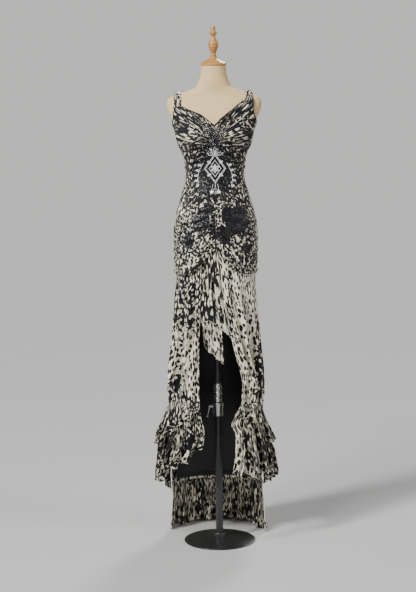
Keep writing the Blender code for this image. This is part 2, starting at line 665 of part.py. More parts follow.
TUCKS_FROM, TUCKS_SHARE = 0.05, 0.34   # where the tucks lie, as shares of the midriff's height


def midriff_surface(u, v):
    angle = mix(SEAM_TURN - SIDE, SIDE - SEAM_TURN, u)
    height = mix(UNDERBUST(abs(angle)) + LAP, HIP_TOP + SEAM_GAP / 2, v)
    drape = 0.5 - 0.5 * math.cos(2 * math.pi * TUCKS * clamp((v - TUCKS_FROM) / TUCKS_SHARE))
    beside = ease_in((abs(angle) - 14) / 20) * ease_in((SIDE - abs(angle)) / 12)
    lift = mix(TUCKED_LIFT, OUTER_LIFT, ease_in((v - 0.028) / 0.022))
    return on_form(angle, height, lift + TUCK_DEPTH * drape * beside)


def flared_edge(v):
    """The lower edge of the bodice and hips stands out over the skirt."""
    return HIP_EDGE_FLARE * ease_in((v - 0.86) / 0.14)


def back_surface(side):
    sign = -1 if side == "left" else 1

    def surface(u, v):
        angle = mix(SIDE + SEAM_TURN, 180 - SEAM_TURN / 2, u)
        flared = flared_edge(v) + BACK_FLARE * ease_in(1 - v * 10)
        return on_form(sign * angle, mix(BACK_TOP(angle), HIP_SEAM(180), v), OUTER_LIFT + flared)

    return surface


def build_bodice():
    strap_rows = (0, 0.05, 0.11, 0.19, 0.28, 0.36, 0.42, 0.50, 0.60, 0.71, 0.81, 0.90, 0.955, 1.0)
    back_rows = (0, 0.10, 0.21, 0.32, 0.43, 0.54, 0.65, 0.76, 0.86, 0.93, 1.0)
    for side in ("left", "right"):
        add_wall(f"cup_{side}", cup_surface(side), 3 * CUP_GATHERS, 7)
        under_arm = Vector((-0.12 if side == "left" else 0.12, 0, BODICE_TOP))
        add_wall(f"strap_{side}", strap_surface(side), 4, strap_rows, inside=under_arm)
        add_wall(f"back_{side}", back_surface(side), 8, back_rows)
        add_wall(f"hip_drape_{side}", hip_surface(side), 9, ROWS_PER_TUCK * RUCHE_FOLDS)
    add_wall("centre_tab", tab_surface, 4, 6, material="beaded_black")
    count = ROWS_PER_TUCK * TUCKS
    tuck_rows = [TUCKS_FROM + TUCKS_SHARE * k / count for k in range(count + 1)]
    add_wall("midriff_front", midriff_surface, 18, [0, 0.028] + tuck_rows + [0.54, 0.69, 0.84, 1.0])


def hip_surface(side):
    """Half of the hip drape, with ruched folds from the side seam to the centre front."""
    sign = -1 if side == "left" else 1

    def surface(u, v):
        angle = sign * mix(SEAM_TURN, SIDE - SEAM_TURN, u)
        height = mix(HIP_TOP - SEAM_GAP / 2, HIP_SEAM(angle), v)
        taper = ease_in(u * 9) * ease_in((1 - u) * 7) * ease_in(v * 6) * mix(0.35, 1.0, v)
        ruche = RUCHE_DEPTH * taper * slanted_fold(RUCHE_FOLDS * v)
        return on_form(angle, height, OUTER_LIFT + flared_edge(v) + ruche)

    return surface


# The skirt, its flounces, train and lining

def skirt_span(side, height):
    """The two edge angles of a hanging piece at a height."""
    if side == "left":
        return SEAM_TURN - BACK_SEAM, FRONT_EDGE_LEFT(height)
    if side == "right":
        return FRONT_EDGE_RIGHT(height), BACK_SEAM - SEAM_TURN
    if side == "centre":
        return FRONT_EDGE_LEFT(height) - CENTRE_LAP, FRONT_EDGE_RIGHT(height) + CENTRE_LAP
    return BACK_SEAM + SEAM_TURN, 360 - BACK_SEAM - SEAM_TURN


def hip_seam_height(side, u):
    """The height of the hip seam above a share of a panel's width."""
    height = HIP_SEAM(SIDE)
    for _ in range(6):
        angle = mix(*skirt_span(side, height), u)
        height = HIP_SEAM(angle if angle <= 180 else angle - 360)
    return height


def panel_bottom(side, u):
    if side == "centre":
        return HEM_CENTRE(u)
    if side == "back":
        return TRAIN_SEAM
    return FLOUNCE_SEAMS[side](u)


def panel_surface(side):
    """A skirt panel from under the hips to its flounce seam, or to its hem at the centre."""

    def surface(u, v):
        height = mix(hip_seam_height(side, u) + LAP, panel_bottom(side, u), v)
        out = 0.0
        if side == "centre":
            fold = 0.5 - 0.5 * math.cos(2 * math.pi * CENTRE_FOLDS * u)
            fold *= ease_in(u * 8 - 0.8) * ease_in((1 - u) * 8 - 0.8) * ease_in(v * 5)
            behind = CENTRE_LIFT - SKIRT_LIFT - EDGE_FLARE * (1 - fitted_share(height))
            out = behind + CENTRE_FOLD_DEPTH * fold
        return skirt_point(mix(*skirt_span(side, height), u), height, out)

    return surface


def flounce_surface(side):
    """A flounce from its seam down to the hem, wavier towards the hem."""
    hem, seam = HEMS[side], FLOUNCE_SEAMS[side]

    def surface(u, v):
        height = mix(seam(u) + LAP, hem(u), v)
        low, high = skirt_span(side, height)
        low, high = (low + 2 * SEAM_TURN, high) if side == "left" else (low, high - 2 * SEAM_TURN)
        from_seam = 1 - u if side == "right" else u
        return ruffled_point(mix(low, high, u), height, u, v, calm=ease_in(from_seam * 9))

    return surface


def ruffle_surface(side):
    """The short ruffle that lies over the top of a flounce and ends one column before its seam."""
    seam, drop = FLOUNCE_SEAMS[side], RUFFLE_DROPS[side]
    inset = 1 / (COLUMNS_PER_WAVE * WAVES)

    def surface(u, v):
        u = mix(inset, 1, u) if side == "left" else mix(0, 1 - inset, u)
        height = seam(u) + 2 * LAP - v * (drop(u) + 2 * LAP)
        point = ruffled_point(mix(*skirt_span(side, height), u), height, u, v * 0.9)
        outward = Vector((point.x, point.y, 0)).normalized()
        return point + outward * LAP_RISE * (2.1 * min(1, v / RUFFLE_HEADING) + v)

    return surface


def train_surface(u, v):
    """The train hangs from the back skirt, then turns out and lies on the floor in soft folds."""
    angle = mix(*skirt_span("back", 0), u)
    hang = clamp(v / FLOOR_SHARE)
    lie = clamp((v - FLOOR_SHARE) / (1 - FLOOR_SHARE))
    calm = ease_in(u * 9) * ease_in((1 - u) * 9)
    wave = math.cos(2 * math.pi * WAVES * u)
    height = mix(TRAIN_SEAM + LAP, FLOOR_LIFT, mix(hang, ease_in(hang), 0.35))
    point = ruffled_point(angle, height, u, 0.9 * hang, calm=calm)
    outward = Vector((math.sin(math.radians(angle)), -math.cos(math.radians(angle)), 0))
    reach = TRAIN_REACH(u) * (lie + 0.25 * ease_in(hang) ** 3) - FLOOR_SCALLOP * lie * calm * wave
    forward = TRAIN_FORWARD * ease_in(1 - u / 0.3) * ease_in(hang * 1.4 - 0.4)
    ridge = FLOOR_RIDGE * calm * (0.5 + 0.5 * wave) * math.sin(math.pi * mix(0.25, 1, lie)) * hang ** 4
    return point + outward * reach + Vector((-0.2 * forward, -forward, ridge))


def lining_surface(u, v):
    """The lining hangs straight inside the folds of the back skirt, from under the form."""
    angle = mix(BACK_SEAM + LINING_INSET, 360 - BACK_SEAM - LINING_INSET, u)
    height = mix(LINING_TOP, LINING_BOTTOM, v)
    inward = CLOTH + mix(0.0008, 0.003, v) + skirt_fold(math.radians(angle), height)
    return skirt_point(angle, height, -inward)


def under_drape_surface(u, v):
    """Sewn behind the centre hem, it hangs lower than the hem and turns back at its left."""
    place = mix(*skirt_span("centre", HEM_CENTRE(0)), mix(DRAPE_FROM, DRAPE_TO, u))
    behind = CENTRE_LIFT - SKIRT_LIFT - CLOTH - 1.3 * EDGE_FLARE
    seam = skirt_point(place, mix(DRAPE_TOP_LEFT, DRAPE_TOP_RIGHT, u), behind)
    turned_back = mix(DRAPE_TURN_BACK, LAP, u) * ease_in(v)
    wave = DRAPE_WAVE * math.sin(5 * math.pi * u) * v
    length = mix(DRAPE_LENGTH_LEFT, DRAPE_LENGTH_RIGHT, u)
    return seam + Vector((LAP * ease_in(v), turned_back + wave, -length * v))


def build_skirt():
    columns = COLUMNS_PER_WAVE * WAVES
    for side in ("left", "right"):
        add_wall(f"skirt_{side}", panel_surface(side), columns, 6)
        add_wall(f"flounce_{side}", flounce_surface(side), columns, 4)
        add_wall(f"ruffle_{side}", ruffle_surface(side), columns - 1, (0, RUFFLE_HEADING, 0.5, 1.0))
    add_wall("skirt_back", panel_surface("back"), columns, 7)
    add_wall("train", train_surface, columns, (0, 0.17, 0.34, 0.52, FLOOR_SHARE, 0.85, 1.0))
    add_wall("back_lining", lining_surface, 18, 5, material="black_lining", thickness=LINING_CLOTH)
    add_wall("skirt_centre", panel_surface("centre"), 4 * CENTRE_FOLDS, 6)
    behind = Vector((0, BASE_RADIUS, HEM_CENTRE(0)))
    add_wall("under_drape", under_drape_surface, 12, 4, inside=behind)


MATERIALS = {}


def main():
    for old in list(bpy.data.objects):
        bpy.data.objects.remove(old)
    for name in FINISHES:
        MATERIALS[name] = make_material(name)
    build_form()
    build_stand()
    build_bodice()
    build_skirt()


main()
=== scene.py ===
"""Looks of the printed chiffon evening dress on its limbless dress form.

Metres, +Z up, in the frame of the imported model. The dress faces -Y. Angles run round the body from the
centre front and are positive towards +X. Each cloth piece is a fine shell on the same form as the solid
that it replaces: surface(u, v) gives its outer face for arrays of shares across and down the piece.
"""

import math
from collections import namedtuple

import bpy
import numpy as np
from mathutils import Matrix, Vector


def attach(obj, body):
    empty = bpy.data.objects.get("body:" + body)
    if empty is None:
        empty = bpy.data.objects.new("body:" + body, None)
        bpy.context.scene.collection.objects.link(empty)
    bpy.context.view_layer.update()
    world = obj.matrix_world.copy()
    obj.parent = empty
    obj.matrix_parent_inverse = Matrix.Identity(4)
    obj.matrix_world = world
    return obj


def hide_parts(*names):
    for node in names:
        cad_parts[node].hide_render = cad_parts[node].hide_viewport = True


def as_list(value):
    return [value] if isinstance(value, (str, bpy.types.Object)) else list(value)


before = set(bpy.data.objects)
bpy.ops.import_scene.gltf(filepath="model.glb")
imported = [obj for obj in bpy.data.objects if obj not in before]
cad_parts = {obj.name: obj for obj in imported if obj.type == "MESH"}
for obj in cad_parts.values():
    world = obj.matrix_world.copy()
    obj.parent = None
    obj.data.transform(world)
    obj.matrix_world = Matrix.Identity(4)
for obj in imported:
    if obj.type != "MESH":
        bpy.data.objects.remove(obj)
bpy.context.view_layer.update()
BODY, LEVER_BODY = "stand_and_dress", "lever"
SIGNS = {"left": -1, "right": 1}

# The sizes and shapes of part.py, repeated here for the fine shells. SHELL, MEETING, LEVER_NECK_RADIUS,
# SEAM_COVER, HEM_SWING and the two insets are the shells' own. The ruffles are shorter than their
# solids, and the train's end lies further forward.
CLOTH = 0.0015              # thickness of a cloth wall in the solids
SHELL = 0.0007              # thickness of the cloth that shows
SEAM_GAP = 0.0003
SEAM_TURN = 0.15            # degrees that each piece stays back from an upright seam
LAP = 0.005                 # how far one piece laps over the next at a lapped seam
LAP_RISE = CLOTH + 0.0011
EASE = 0.0040               # room between the form and the inside of the fitted dress
OUTER_LIFT = EASE + CLOTH
TUCKED_LIFT = OUTER_LIFT - CLOTH - 0.0006
SKIRT_LIFT = 0.0049
CENTRE_LIFT = 0.0023
STRAP_LIFT, STRAP_PLEAT = CLOTH + 0.0017, 0.0016
HIP_EDGE_FLARE = 0.0029
EDGE_FLARE = 0.0013
BACK_FLARE = 0.0010
NECK_TOP, NECK_FOOT, NECK_TILT = 1.856, 1.790, math.radians(7)
FORM_BOTTOM = 0.985
FITTED_BOTTOM, FITTED_TOP = 0.985, 1.050
BODICE_TOP, HIP_TOP, TRAIN_SEAM = 1.600, 1.330, 0.200
SIDE, BACK_SEAM = 91.0, 125.0     # angles of the side seams and the back skirt's seams, in degrees
CUP_GATHERS, GATHER_DEPTH = 9, 0.0060
MEETING = 0.12              # how near the cups' inner edges come to the centre line, as a share
TUCKS, TUCK_DEPTH, TUCKS_FROM, TUCKS_SHARE = 3, 0.0035, 0.05, 0.34
RUCHE_FOLDS, RUCHE_DEPTH = 7, 0.0055
CENTRE_FOLDS, CENTRE_FOLD_DEPTH = 4, 0.010
FOLDS_ROUND, WAVES, WAVE_DEPTH, FLARE, COLUMNS_PER_WAVE = 20, 7, 0.018, 0.008, 4


def table(kind, rows):
    return tuple(kind(*row) for row in rows)


Section = namedtuple("Section", "height half_width front back square")
FORM_SECTIONS = table(Section, (
    (0.985, 0.1380, 0.0940, 0.1080, 2.3),
    (1.060, 0.1480, 0.1000, 0.1200, 2.3),
    (1.140, 0.1535, 0.1040, 0.1230, 2.3),
    (1.210, 0.1560, 0.1060, 0.1180, 2.3),
    (1.290, 0.1465, 0.1040, 0.1070, 2.3),
    (1.360, 0.1265, 0.0970, 0.0940, 2.3),
    (1.440, 0.1075, 0.0890, 0.0850, 2.3),
    (1.510, 0.1140, 0.0920, 0.0900, 2.3),
    (1.570, 0.1390, 0.1000, 0.0970, 2.3),
    (1.600, 0.1430, 0.1020, 0.1000, 2.3),
    (1.650, 0.1615, 0.0880, 0.0990, 2.3),
    (1.680, 0.1750, 0.0720, 0.0920, 2.3),
    (1.710, 0.1820, 0.0560, 0.0800, 2.3),
    (1.730, 0.1760, 0.0470, 0.0700, 2.3),
    (1.745, 0.1530, 0.0430, 0.0630, 2.2),
    (1.757, 0.1120, 0.0430, 0.0580, 2.1),
    (1.775, 0.0700, 0.0460, 0.0540, 2.0),
    (1.800, 0.0570, 0.0480, 0.0520, 2.0),
    (1.830, 0.0490, 0.0480, 0.0500, 2.0),
    (1.856, 0.0475, 0.0475, 0.0475, 2.0),
))
BUST_HEIGHT, BUST_APART, BUST_RISE = 1.588, 0.066, 0.028
BUST_SPREAD, BUST_TALL = 0.046, 0.044

# The stand
BASE_RADIUS, BASE_EDGE, BASE_DOME = 0.140, 0.005, 0.012
HUB_RADIUS, HUB_TOP = 0.026, 0.034
LOWER_TUBE_RADIUS, UPPER_TUBE_RADIUS, LOWER_TUBE_TOP = 0.0145, 0.0125, 0.555
CLAMP_BOTTOM, CLAMP_TOP, CLAMP_RADIUS = 0.500, 0.553, 0.0215
CLAMP_BOSS_RADIUS, CLAMP_BOSS_REACH, LEVER_HEIGHT = 0.0070, 0.0060, 0.538
LEVER_LENGTH, LEVER_LEAN, LEVER_HUB_RADIUS, LEVER_HUB_WIDTH = 0.040, math.radians(14), 0.0065, 0.0090
LEVER_RADIUS, LEVER_NECK_RADIUS, KNOB_RADIUS = 0.0032, 0.0025, 0.0058
RIBBED_BOTTOM, RIBBED_TOP, RIB_RADIUS, RIB_GROOVE, RIBS = 0.5553, 0.628, 0.0175, 0.003, 3
FLANGE_RADIUS, FLANGE_BOTTOM, BOSS_BOTTOM, BOSS_RADIUS = 0.045, 0.978, 0.940, 0.019
BEVEL, FINE_BEVEL, HUB_ROUNDING = 0.002, 0.001, 0.004
PLATE_FOOT_INSET, BOSS_FOOT_RISE, CLAMP_BOSS_SINK, TUBE_OVERLAP = 0.003, 0.003, 0.002, 0.01

SkirtSection = namedtuple("SkirtSection", "height left right front back")
SKIRT_SECTIONS = table(SkirtSection, (
    (0.000, 0.2020, 0.2000, 0.1350, 0.2300),
    (0.120, 0.2080, 0.2020, 0.1350, 0.2200),
    (0.250, 0.2200, 0.2040, 0.1340, 0.2030),
    (0.320, 0.2170, 0.1990, 0.1310, 0.1920),
    (0.440, 0.2020, 0.1740, 0.1240, 0.1700),
    (0.560, 0.1810, 0.1640, 0.1170, 0.1540),
    (0.690, 0.1680, 0.1560, 0.1110, 0.1410),
    (0.800, 0.1550, 0.1490, 0.1070, 0.1330),
    (0.880, 0.1515, 0.1470, 0.1050, 0.1300),
    (0.980, 0.1530, 0.1480, 0.1055, 0.1285),
    (1.050, 0.1540, 0.1530, 0.1065, 0.1275),
    (1.160, 0.1595, 0.1595, 0.1100, 0.1285),
))
SKIRT_SQUARE = 2.2

# The neck cap and its finial: radius at each height above the neck's top
Turned = namedtuple("Turned", "radius rise")
NECK_CAP = table(Turned, (
    (0.0470, 0.0003), (0.0490, 0.0020), (0.0488, 0.0075), (0.0430, 0.0120), (0.0300, 0.0190),
    (0.0170, 0.0265), (0.0130, 0.0320), (0.0125, 0.0360),
))
FINIAL = table(Turned, (
    (0.0100, 0.0363), (0.0105, 0.0400), (0.0092, 0.0440), (0.0125, 0.0530), (0.0172, 0.0640),
    (0.0192, 0.0740), (0.0180, 0.0775), (0.0203, 0.0800), (0.0185, 0.0850), (0.0120, 0.0960),
    (0.0085, 0.1060), (0.0090, 0.1120), (0.0138, 0.1190), (0.0138, 0.1240), (0.0085, 0.1310),
    (0.0088, 0.1390), (0.0060, 0.1475),
))
NECK_SEAM_DROP = 0.011      # from the neck's top to its stitched seam
NECK_STITCHES = 66
STITCH_DROP, STITCH_SINK, STITCH_RADIUS, STITCH_STRETCH = 0.0025, 0.0003, 0.0005, 2.6


# Curves and small sums, all on arrays

def mix(a, b, share):
    return a + (b - a) * share


def clamp(value, low=0.0, high=1.0):
    return np.clip(value, low, high)


def ease_in(share):
    """A smooth step from 0 to 1."""
    share = clamp(share)
    return share * share * (3 - 2 * share)


def between_ends(share, start, end=None):
    """0 at both ends of a piece and 1 between them, eased in over 1 / start and 1 / end of it."""
    return ease_in(share * start) * ease_in((1 - share) * (end or start))


def bell(distance):
    return np.exp(-distance * distance)


def round_fold(turns):
    """The height, 0 to 1, of even folds, one for each turn."""
    return 0.5 - 0.5 * np.cos(2 * math.pi * turns)


def slanted_fold(turns):
    """The height, 0 to 1, of folds that rise slowly and fall back steeply, one for each turn."""
    share = turns % 1.0
    return np.where(share < 2 / 3, ease_in(share * 1.5), ease_in((1 - share) * 3))


def points(x, y, z):
    return np.stack(np.broadcast_arrays(x, y, z), axis=-1)


def unit(vectors):
    return vectors / np.maximum(np.linalg.norm(vectors, axis=-1, keepdims=True), 1e-12)


def smooth_curve(*places):
    """A function that runs smoothly through the (place, value) points and never overshoots them."""
    xs, ys = np.array(places, float).T
    slopes = np.diff(ys) / np.diff(xs)
    before, after = slopes[:-1], slopes[1:]
    turning = before * after <= 0
    middle = np.where(turning, 0.0, 2 * before * after / np.where(turning, 1.0, before + after))
    tangents = np.concatenate(([slopes[0]], middle, [slopes[-1]]))

    def value(x):
        x = clamp(x, xs[0], xs[-1])
        i = np.clip(np.searchsorted(xs, x, side="right") - 1, 0, len(xs) - 2)
        width = xs[i + 1] - xs[i]
        t = (x - xs[i]) / width
        start = (1 + 2 * t) * (1 - t) ** 2 * ys[i] + t * (1 - t) ** 2 * width * tangents[i]
        end = t * t * (3 - 2 * t) * ys[i + 1] + t * t * (t - 1) * width * tangents[i + 1]
        return start + end

    return value


def columns_over_height(sections):
    """A smooth curve over the height for each of the table's other columns."""
    height, *others = zip(*sections)
    return [smooth_curve(*zip(height, values)) for values in others]


FORM_WIDTH, FORM_FRONT, FORM_BACK, FORM_SQUARE = columns_over_height(FORM_SECTIONS)
SKIRT_LEFT, SKIRT_RIGHT, SKIRT_FRONT, SKIRT_BACK = columns_over_height(SKIRT_SECTIONS)

NECKLINE_LEFT = smooth_curve((0, 1.6215), (0.031, 1.648), (0.055, 1.666), (0.088, 1.681), (0.1235, 1.699))
NECKLINE_RIGHT = smooth_curve((0, 1.6215), (0.027, 1.6505), (0.057, 1.674), (0.0755, 1.69), (0.1205, 1.728))
UNDERBUST = smooth_curve((0, 1.548), (9.5, 1.548), (50, 1.53), (SIDE, 1.54))
BACK_TOP = smooth_curve((SIDE, 1.6), (118, 1.604), (140, 1.612), (153, 1.606), (167, 1.583), (180, 1.575))
HIP_SEAM = smooth_curve(
    (-180, 1.062), (-91, 1.062), (-60, 1.058), (-40, 1.066), (-25, 1.092), (-12, 1.13), (-1, 1.152),
    (6, 1.135), (14, 1.105), (24, 1.078), (45, 1.062), (91, 1.062), (180, 1.062),
)
SHOULDER_HEIGHTS = (1.712, 1.775)       # between which the form narrows to the neck
TAB_TOP, TAB_BOTTOM = 1.6060, 1.5490
TAB_TOP_HALF, TAB_HALF = 0.8, 6.0
Strap = namedtuple("Strap", "neckline inner outer join back_inner back_outer")
STRAPS = {
    "left": Strap(NECKLINE_LEFT, 0.1235, 0.1530, 1.699, 0.085, 0.113),
    "right": Strap(NECKLINE_RIGHT, 0.1205, 0.1480, 1.728, 0.085, 0.113),
}
STRAP_BACK_FOOT = BACK_TOP(146) - LAP
NECKLINE_END, STRAP_END, ARMHOLE_END = 0.42, 0.53, 0.82
FRONT_EDGE_LEFT = smooth_curve(
    (0.34, -30), (0.38, -22), (0.42, -17), (0.46, -16), (0.51, -20), (0.56, -23), (0.69, -25), (0.8, -26),
    (0.9, -25), (1.0, -23), (1.16, -21),
)
FRONT_EDGE_RIGHT = smooth_curve(
    (0.28, 15), (0.36, 20), (0.45, 22), (0.487, 17), (0.53, 24), (0.57, 31), (0.65, 34), (0.72, 29),
    (0.81, 22), (0.9, 16), (1.0, 9), (1.16, 4),
)
CENTRE_LAP = 2.5
HEMS = {
    "left": smooth_curve(
        (0, 0.17), (0.2, 0.23), (0.35, 0.252), (0.5, 0.262), (0.58, 0.298), (0.72, 0.318), (0.86, 0.345),
        (1, 0.395),
    ),
    "right": smooth_curve(
        (0, 0.292), (0.2, 0.286), (0.38, 0.3), (0.5, 0.315), (0.62, 0.272), (0.8, 0.235), (1, 0.19),
    ),
}
HEM_CENTRE = smooth_curve((0, 0.878), (0.35, 0.886), (0.6, 0.866), (0.8, 0.84), (1, 0.812))
FLOUNCE_SEAMS = {
    "left": smooth_curve((0, 0.4), (0.25, 0.47), (0.45, 0.545), (0.7, 0.56), (1, 0.545)),
    "right": smooth_curve((0, 0.555), (0.3, 0.55), (0.55, 0.525), (0.75, 0.47), (1, 0.4)),
}
RUFFLE_DROPS = {
    "left": smooth_curve(
        (0, 0.002), (0.07, 0.04), (0.16, 0.068), (0.24, 0.078), (0.33, 0.096), (0.43, 0.084), (0.52, 0.112),
        (0.62, 0.074), (0.7, 0.082), (0.79, 0.048), (0.87, 0.044), (0.95, 0.012), (1, 0.002),
    ),
    "right": smooth_curve(
        (0, 0.004), (0.04, 0.024), (0.1, 0.044), (0.17, 0.034), (0.27, 0.062), (0.36, 0.058), (0.47, 0.098),
        (0.57, 0.09), (0.66, 0.098), (0.75, 0.076), (0.84, 0.074), (0.93, 0.042), (1, 0.002),
    ),
}
RUFFLE_HEADING = 0.06
SEAM_COVER = 1.2            # how far a flounce laps round over the back skirt's seam, in degrees
HEM_SWING = 0.0055          # how much a flounce's hem rises and falls between its waves
FLOUNCE_INSET = 0.014       # how much nearer the middle a flounce's hem hangs than its solid's
RUFFLE_INSET = 0.0015       # how much nearer its flounce a ruffle hangs than its solid
FOLD_DEPTH = smooth_curve(
    (0.0, 0.016), (0.3, 0.014), (0.56, 0.01), (0.8, 0.006), (0.98, 0.003), (1.06, 0.0008), (1.16, 0.0),
)
TRAIN_REACH = smooth_curve((0.0, 0.014), (0.2, 0.05), (0.5, 0.1), (0.8, 0.05), (1.0, 0.004))
FLOOR_SHARE, FLOOR_LIFT, FLOOR_RIDGE, FLOOR_SCALLOP, TRAIN_FORWARD = 0.70, 0.0019, 0.011, 0.008, 0.055
LINING_TOP, LINING_BOTTOM, LINING_INSET = 0.955, 0.212, 4
DRAPE_TOP_LEFT, DRAPE_TOP_RIGHT = 0.893, 0.872
DRAPE_LENGTH_LEFT, DRAPE_LENGTH_RIGHT = 0.112, 0.155
DRAPE_FROM, DRAPE_TO = 0.12, 0.72
DRAPE_TURN_BACK, DRAPE_WAVE = 0.034, 0.005


# The form's and the skirt's surfaces

def section_point(angle, left, right, front, back, square):
    """The x and y of a rounded section at an angle in radians from the centre front."""
    s, c = np.sin(angle), np.cos(angle)
    reach = (np.abs(s) ** square + np.abs(c) ** square) ** (-1 / square)
    return np.where(s > 0, right, left) * reach * s, -np.where(c > 0, front, back) * reach * c


def form_point(angle, height):
    width = FORM_WIDTH(height)
    x, y = section_point(angle, width, width, FORM_FRONT(height), FORM_BACK(height), FORM_SQUARE(height))
    both = bell((x - BUST_APART) / BUST_SPREAD) + bell((x + BUST_APART) / BUST_SPREAD)
    y = y - BUST_RISE * both * bell((height - BUST_HEIGHT) / BUST_TALL) * ease_in(np.cos(angle) * 2)
    slope = ease_in((height - NECK_FOOT) / (NECK_TOP - NECK_FOOT))
    return points(x, y, height + y * math.tan(NECK_TILT) * slope)


def lifted(angle, height, lift):
    """A point of the form's skin moved out along its normal."""
    turn, rise = 0.004, 0.0006
    along_u = form_point(angle + turn, height) - form_point(angle - turn, height)
    along_v = form_point(angle, height + rise) - form_point(angle, height - rise)
    return form_point(angle, height) + unit(np.cross(along_u, along_v)) * np.asarray(lift)[..., None]


def on_form(degrees, height, lift=OUTER_LIFT):
    angle, height, lift = np.broadcast_arrays(np.radians(degrees), height, lift)
    return lifted(angle, height, lift)


def last_place(low, high, shape, holds):
    """For an array of a shape, the last place from low to high at which something holds, by halving."""
    low, high = np.full(shape, low), np.full(shape, high)
    for _ in range(22):
        middle = (low + high) / 2
        here = holds(middle)
        low, high = np.where(here, middle, low), np.where(here, high, middle)
    return (low + high) / 2


def front_angle(x, height):
    """The angle in degrees on the front half at which the form reaches out to x at a height."""
    x, height = np.broadcast_arrays(x, height)
    return last_place(0.0, 90.0, x.shape, lambda angle: form_point(np.radians(angle), height)[..., 0] < x)


def shoulder_top(x):
    """The height of the shoulder's top, where the form reaches out only to x."""
    return last_place(*SHOULDER_HEIGHTS, np.shape(x), lambda height: FORM_WIDTH(height) > x)


def fitted_share(height):
    """0 where the skirt hangs free and 1 where it lies round the hips."""
    return ease_in((height - FITTED_BOTTOM) / (FITTED_TOP - FITTED_BOTTOM))


def skirt_base(angle, height):
    """The skirt's outer face without its folds: it leaves the form below the hips."""
    x, y = section_point(
        angle, SKIRT_LEFT(height), SKIRT_RIGHT(height), SKIRT_FRONT(height), SKIRT_BACK(height), SKIRT_SQUARE
    )
    on_hips = lifted(angle, np.maximum(height, FORM_BOTTOM), SKIRT_LIFT)
    return mix(points(x, y, height), on_hips, fitted_share(height)[..., None])


def skirt_fold(angle, height):
    """How far the cloth stands out at a vertical fold. Folds are unevenly spaced round the skirt."""
    phase = FOLDS_ROUND * angle + 1.1 * np.sin(2 * angle + 0.6) + 0.7 * np.sin(5 * angle)
    uneven = 0.75 + 0.25 * np.sin(3 * angle + 1.0)
    return FOLD_DEPTH(height) * (0.5 + 0.5 * np.cos(phase)) * uneven


def skirt_point(degrees, height, out=0.0, sway=0.0):
    """A point of the skirt's outer face, moved out from it and swayed along it."""
    angle, height, out, sway = np.broadcast_arrays(np.radians(degrees), height, out, sway)
    turn = 0.004
    ahead = unit(skirt_base(angle + turn, height) - skirt_base(angle - turn, height))
    outward = points(ahead[..., 1], -ahead[..., 0], 0)
    moved = (out + skirt_fold(angle, height))[..., None] * outward + sway[..., None] * ahead
    return skirt_base(angle, height) + moved


def ruffled_point(degrees, height, u, drop, calm=1.0):
    """A point of a flounce: drop is the share of the way down, and calm is 0 where waves die out."""
    phase = 2 * math.pi * WAVES * u
    swell = 0.82 + 0.18 * np.sin(9 * u + 0.4)
    wave = WAVE_DEPTH * swell * calm * ease_in(drop * 1.2)
    out = LAP_RISE + FLARE * drop * drop + wave * (1 - np.cos(phase)) / 2
    return skirt_point(degrees, height, out, 0.2 * wave * np.sin(phase))


# Surfaces of the bodice

def cup_edge(share, side):
    """The cup's outer edge as (angle, height): up the neckline, across the strap, down the armhole
    and down the side seam."""
    strap = STRAPS[side]
    side_seam = SIDE - SEAM_TURN
    x = mix(2 * SEAM_GAP, strap.inner, clamp(share / NECKLINE_END))
    height = strap.neckline(x)
    angle = front_angle(x, height)
    part = clamp((share - NECKLINE_END) / (STRAP_END - NECKLINE_END))
    across = front_angle(mix(strap.inner, strap.outer, part), strap.join)
    angle = np.where(share < NECKLINE_END, angle, across)
    height = np.where(share < NECKLINE_END, height, strap.join)
    part = clamp((share - STRAP_END) / (ARMHOLE_END - STRAP_END))
    arm_height = mix(strap.join, BODICE_TOP, part)
    arm_angle = mix(front_angle(strap.outer, arm_height), side_seam, ease_in(part * 1.6 - 0.6))
    angle = np.where(share < STRAP_END, angle, arm_angle)
    height = np.where(share < STRAP_END, height, arm_height)
    part = clamp((share - ARMHOLE_END) / (1 - ARMHOLE_END))
    angle = np.where(share < ARMHOLE_END, angle, side_seam)
    height = np.where(share < ARMHOLE_END, height, mix(BODICE_TOP, UNDERBUST(SIDE), part))
    return angle, height


def cup_surface(side):
    """A cup: u runs along its outer edge, and v from the centre tab to that edge."""
    sign = SIGNS[side]

    def surface(u, v):
        edge_angle, edge_height = cup_edge(u, side)
        knot_angle = mix(TAB_TOP_HALF, TAB_HALF, np.minimum(1, u * 3)) + 2 * SEAM_TURN
        angle = mix(knot_angle, edge_angle, v) * mix(MEETING, 1.0, ease_in(u * 24))
        height = mix(mix(TAB_TOP, TAB_BOTTOM, u), edge_height, v)
        height = height + (UNDERBUST(angle) - mix(TAB_BOTTOM, UNDERBUST(SIDE), v)) * u ** 4
        swell = 1.9 * np.sin(math.pi * v) * v ** 1.2 * between_ends(u, 9)
        gather = GATHER_DEPTH * swell * slanted_fold(CUP_GATHERS * u)
        return on_form(sign * angle, height, OUTER_LIFT + EDGE_FLARE * ease_in(u * 10 - 9) + gather)

    return surface


